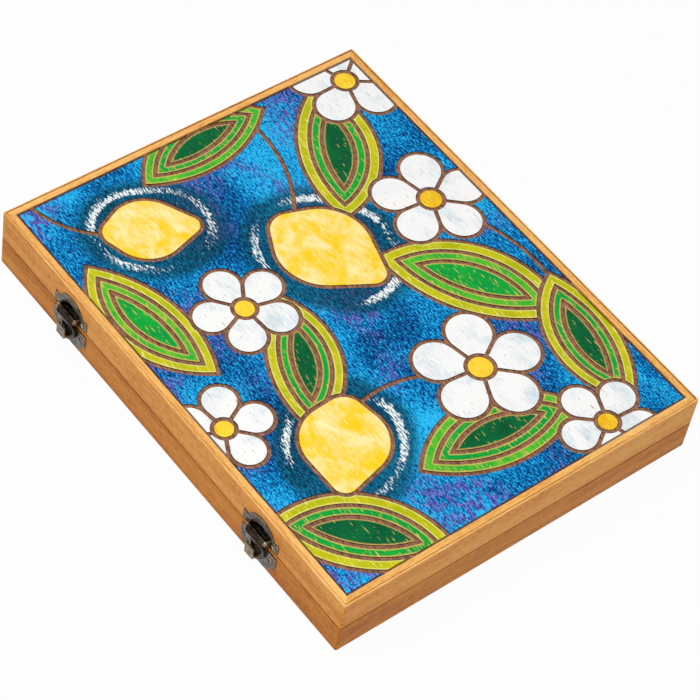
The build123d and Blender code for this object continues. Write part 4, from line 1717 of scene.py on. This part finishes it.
MOTIFS: tuple[Motif, ...] = (
    Twig(-58.0, 6.0, -136.0, 34.0, -10.0),
    Twig(56.0, -40.0, 60.0, 8.0, 5.0),
    Twig(-106.0, -76.0, -146.0, -104.0, 6.0),
    Twig(48.0, 105.0, -10.0, 98.0, -5.0),
    Leaf(Spot(24.0, 66.0, 36.0), 104.0, 46.0, 5.0, LEAVES_FRESH),
    Leaf(Spot(-94.0, 60.0, 152.0), 98.0, 44.0, -5.0, LEAVES_DEEP),
    Leaf(Spot(110.5, 14.0, 84.0), 96.0, 42.0, 4.0, LEAVES_BRIGHT),
    Leaf(Spot(16.0, -46.0, -26.0), 88.0, 38.0, 4.0, LEAVES_DEEP),
    Leaf(Spot(-48.0, -94.0, 10.0), 94.0, 38.0, -4.0, LEAVES_FRESH),
    Leaf(Spot(122.0, -86.0, 48.0), 96.0, 44.0, 4.0, LEAVES_DEEP),
    Leaf(Spot(-133.0, 2.0, 98.0), 88.0, 38.0, 4.0, LEAVES_BRIGHT),
    Leaf(Spot(86.0, 98.0, -12.0), 92.0, 38.0, -4.0, LEAVES_DEEP),
    Fruit(Spot(-40.0, 14.0, 22.0), 27.0),
    Fruit(Spot(69.0, -56.0, -38.0), 23.5),
    Fruit(Spot(-100.0, -60.0, 66.0), 20.5),
    Blossom(Spot(70.0, 34.0, 12.0), 72.0),
    Blossom(Spot(-28.0, -48.0, 40.0), 58.0),
    Blossom(Spot(-36.0, 86.0, 85.0), 66.0),
    Blossom(Spot(-132.0, 100.0, 20.0), 64.0),
    Blossom(Spot(134.0, 68.0, 50.0), 56.0),
    Blossom(Spot(30.0, -104.0, 8.0), 54.0),
)


def painted_finishes() -> dict[Paint, bpy.types.Material]:
    """The finish of each painted colour.

    Returns:
        A material for every paint.
    """
    bare, cream, pale = srgb(240, 188, 104), srgb(253, 243, 210), srgb(240, 232, 140)
    speck = srgb(196, 168, 140)
    leaf = partial(CrayonPaint, cover=0.5, fleck=bare, flecked=0.85, worn=0.24, soft=0.3, patch=64.0)
    lime = (srgb(172, 178, 4), srgb(208, 200, 30))
    yellow = (srgb(254, 238, 176), srgb(250, 208, 24))
    white = (srgb(196, 216, 224), srgb(247, 246, 244))
    paints = {
        Paint.RIM: leaf("lime_paint", *lime, fleck=pale, worn=0.16, patch=60.0),
        Paint.BAND: leaf("light_green_paint", srgb(34, 168, 56), srgb(98, 196, 44), flecked=0.9),
        Paint.GREEN: leaf("green_paint", srgb(0, 148, 60), srgb(24, 172, 58)),
        Paint.HEART: leaf("dark_green_paint", srgb(0, 80, 44), srgb(0, 106, 54), flecked=0.6, worn=0.22),
        Paint.FRUIT: CrayonPaint("yellow_paint", *yellow, 0.62, cream, 0.4, soft=0.28, patch=62.0),
        Paint.PETAL: CrayonPaint("white_paint", *white, 0.84, speck, 0.5, soft=0.24, patch=40.0),
        Paint.EYE: CrayonPaint("amber_paint", srgb(250, 214, 60), srgb(236, 176, 22), 0.4, cream, 0.3),
    }
    return {paint: finish.make() for paint, finish in paints.items()}


def main() -> None:
    """Build the looks in order."""
    logging.basicConfig(level=logging.INFO, format="%(name)s: %(message)s")
    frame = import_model()
    for assembly in (Trays, PlayingField, Fittings, Checkers, Dice):
        assembly(frame["nodes"]).make()
    halos = tuple(motif.halo() for motif in MOTIFS if isinstance(motif, Fruit))
    picture = Picture(
        motifs=MOTIFS,
        finishes=painted_finishes(),
        ground=CrayonGround("crayon_ground", halos).make(),
        carved=CarvedWood("carved_wood", srgb(166, 118, 90), srgb(108, 72, 54)).make(),
        # The carved lines' sides: burnt wood, darker partly as painted shade
        cut=CarvedWood("burnt_and_shaded_wood", srgb(70, 42, 30), srgb(40, 24, 18)).make(),
    )
    picture.make()
    Studio().make()


if __name__ == "__main__":
    main()
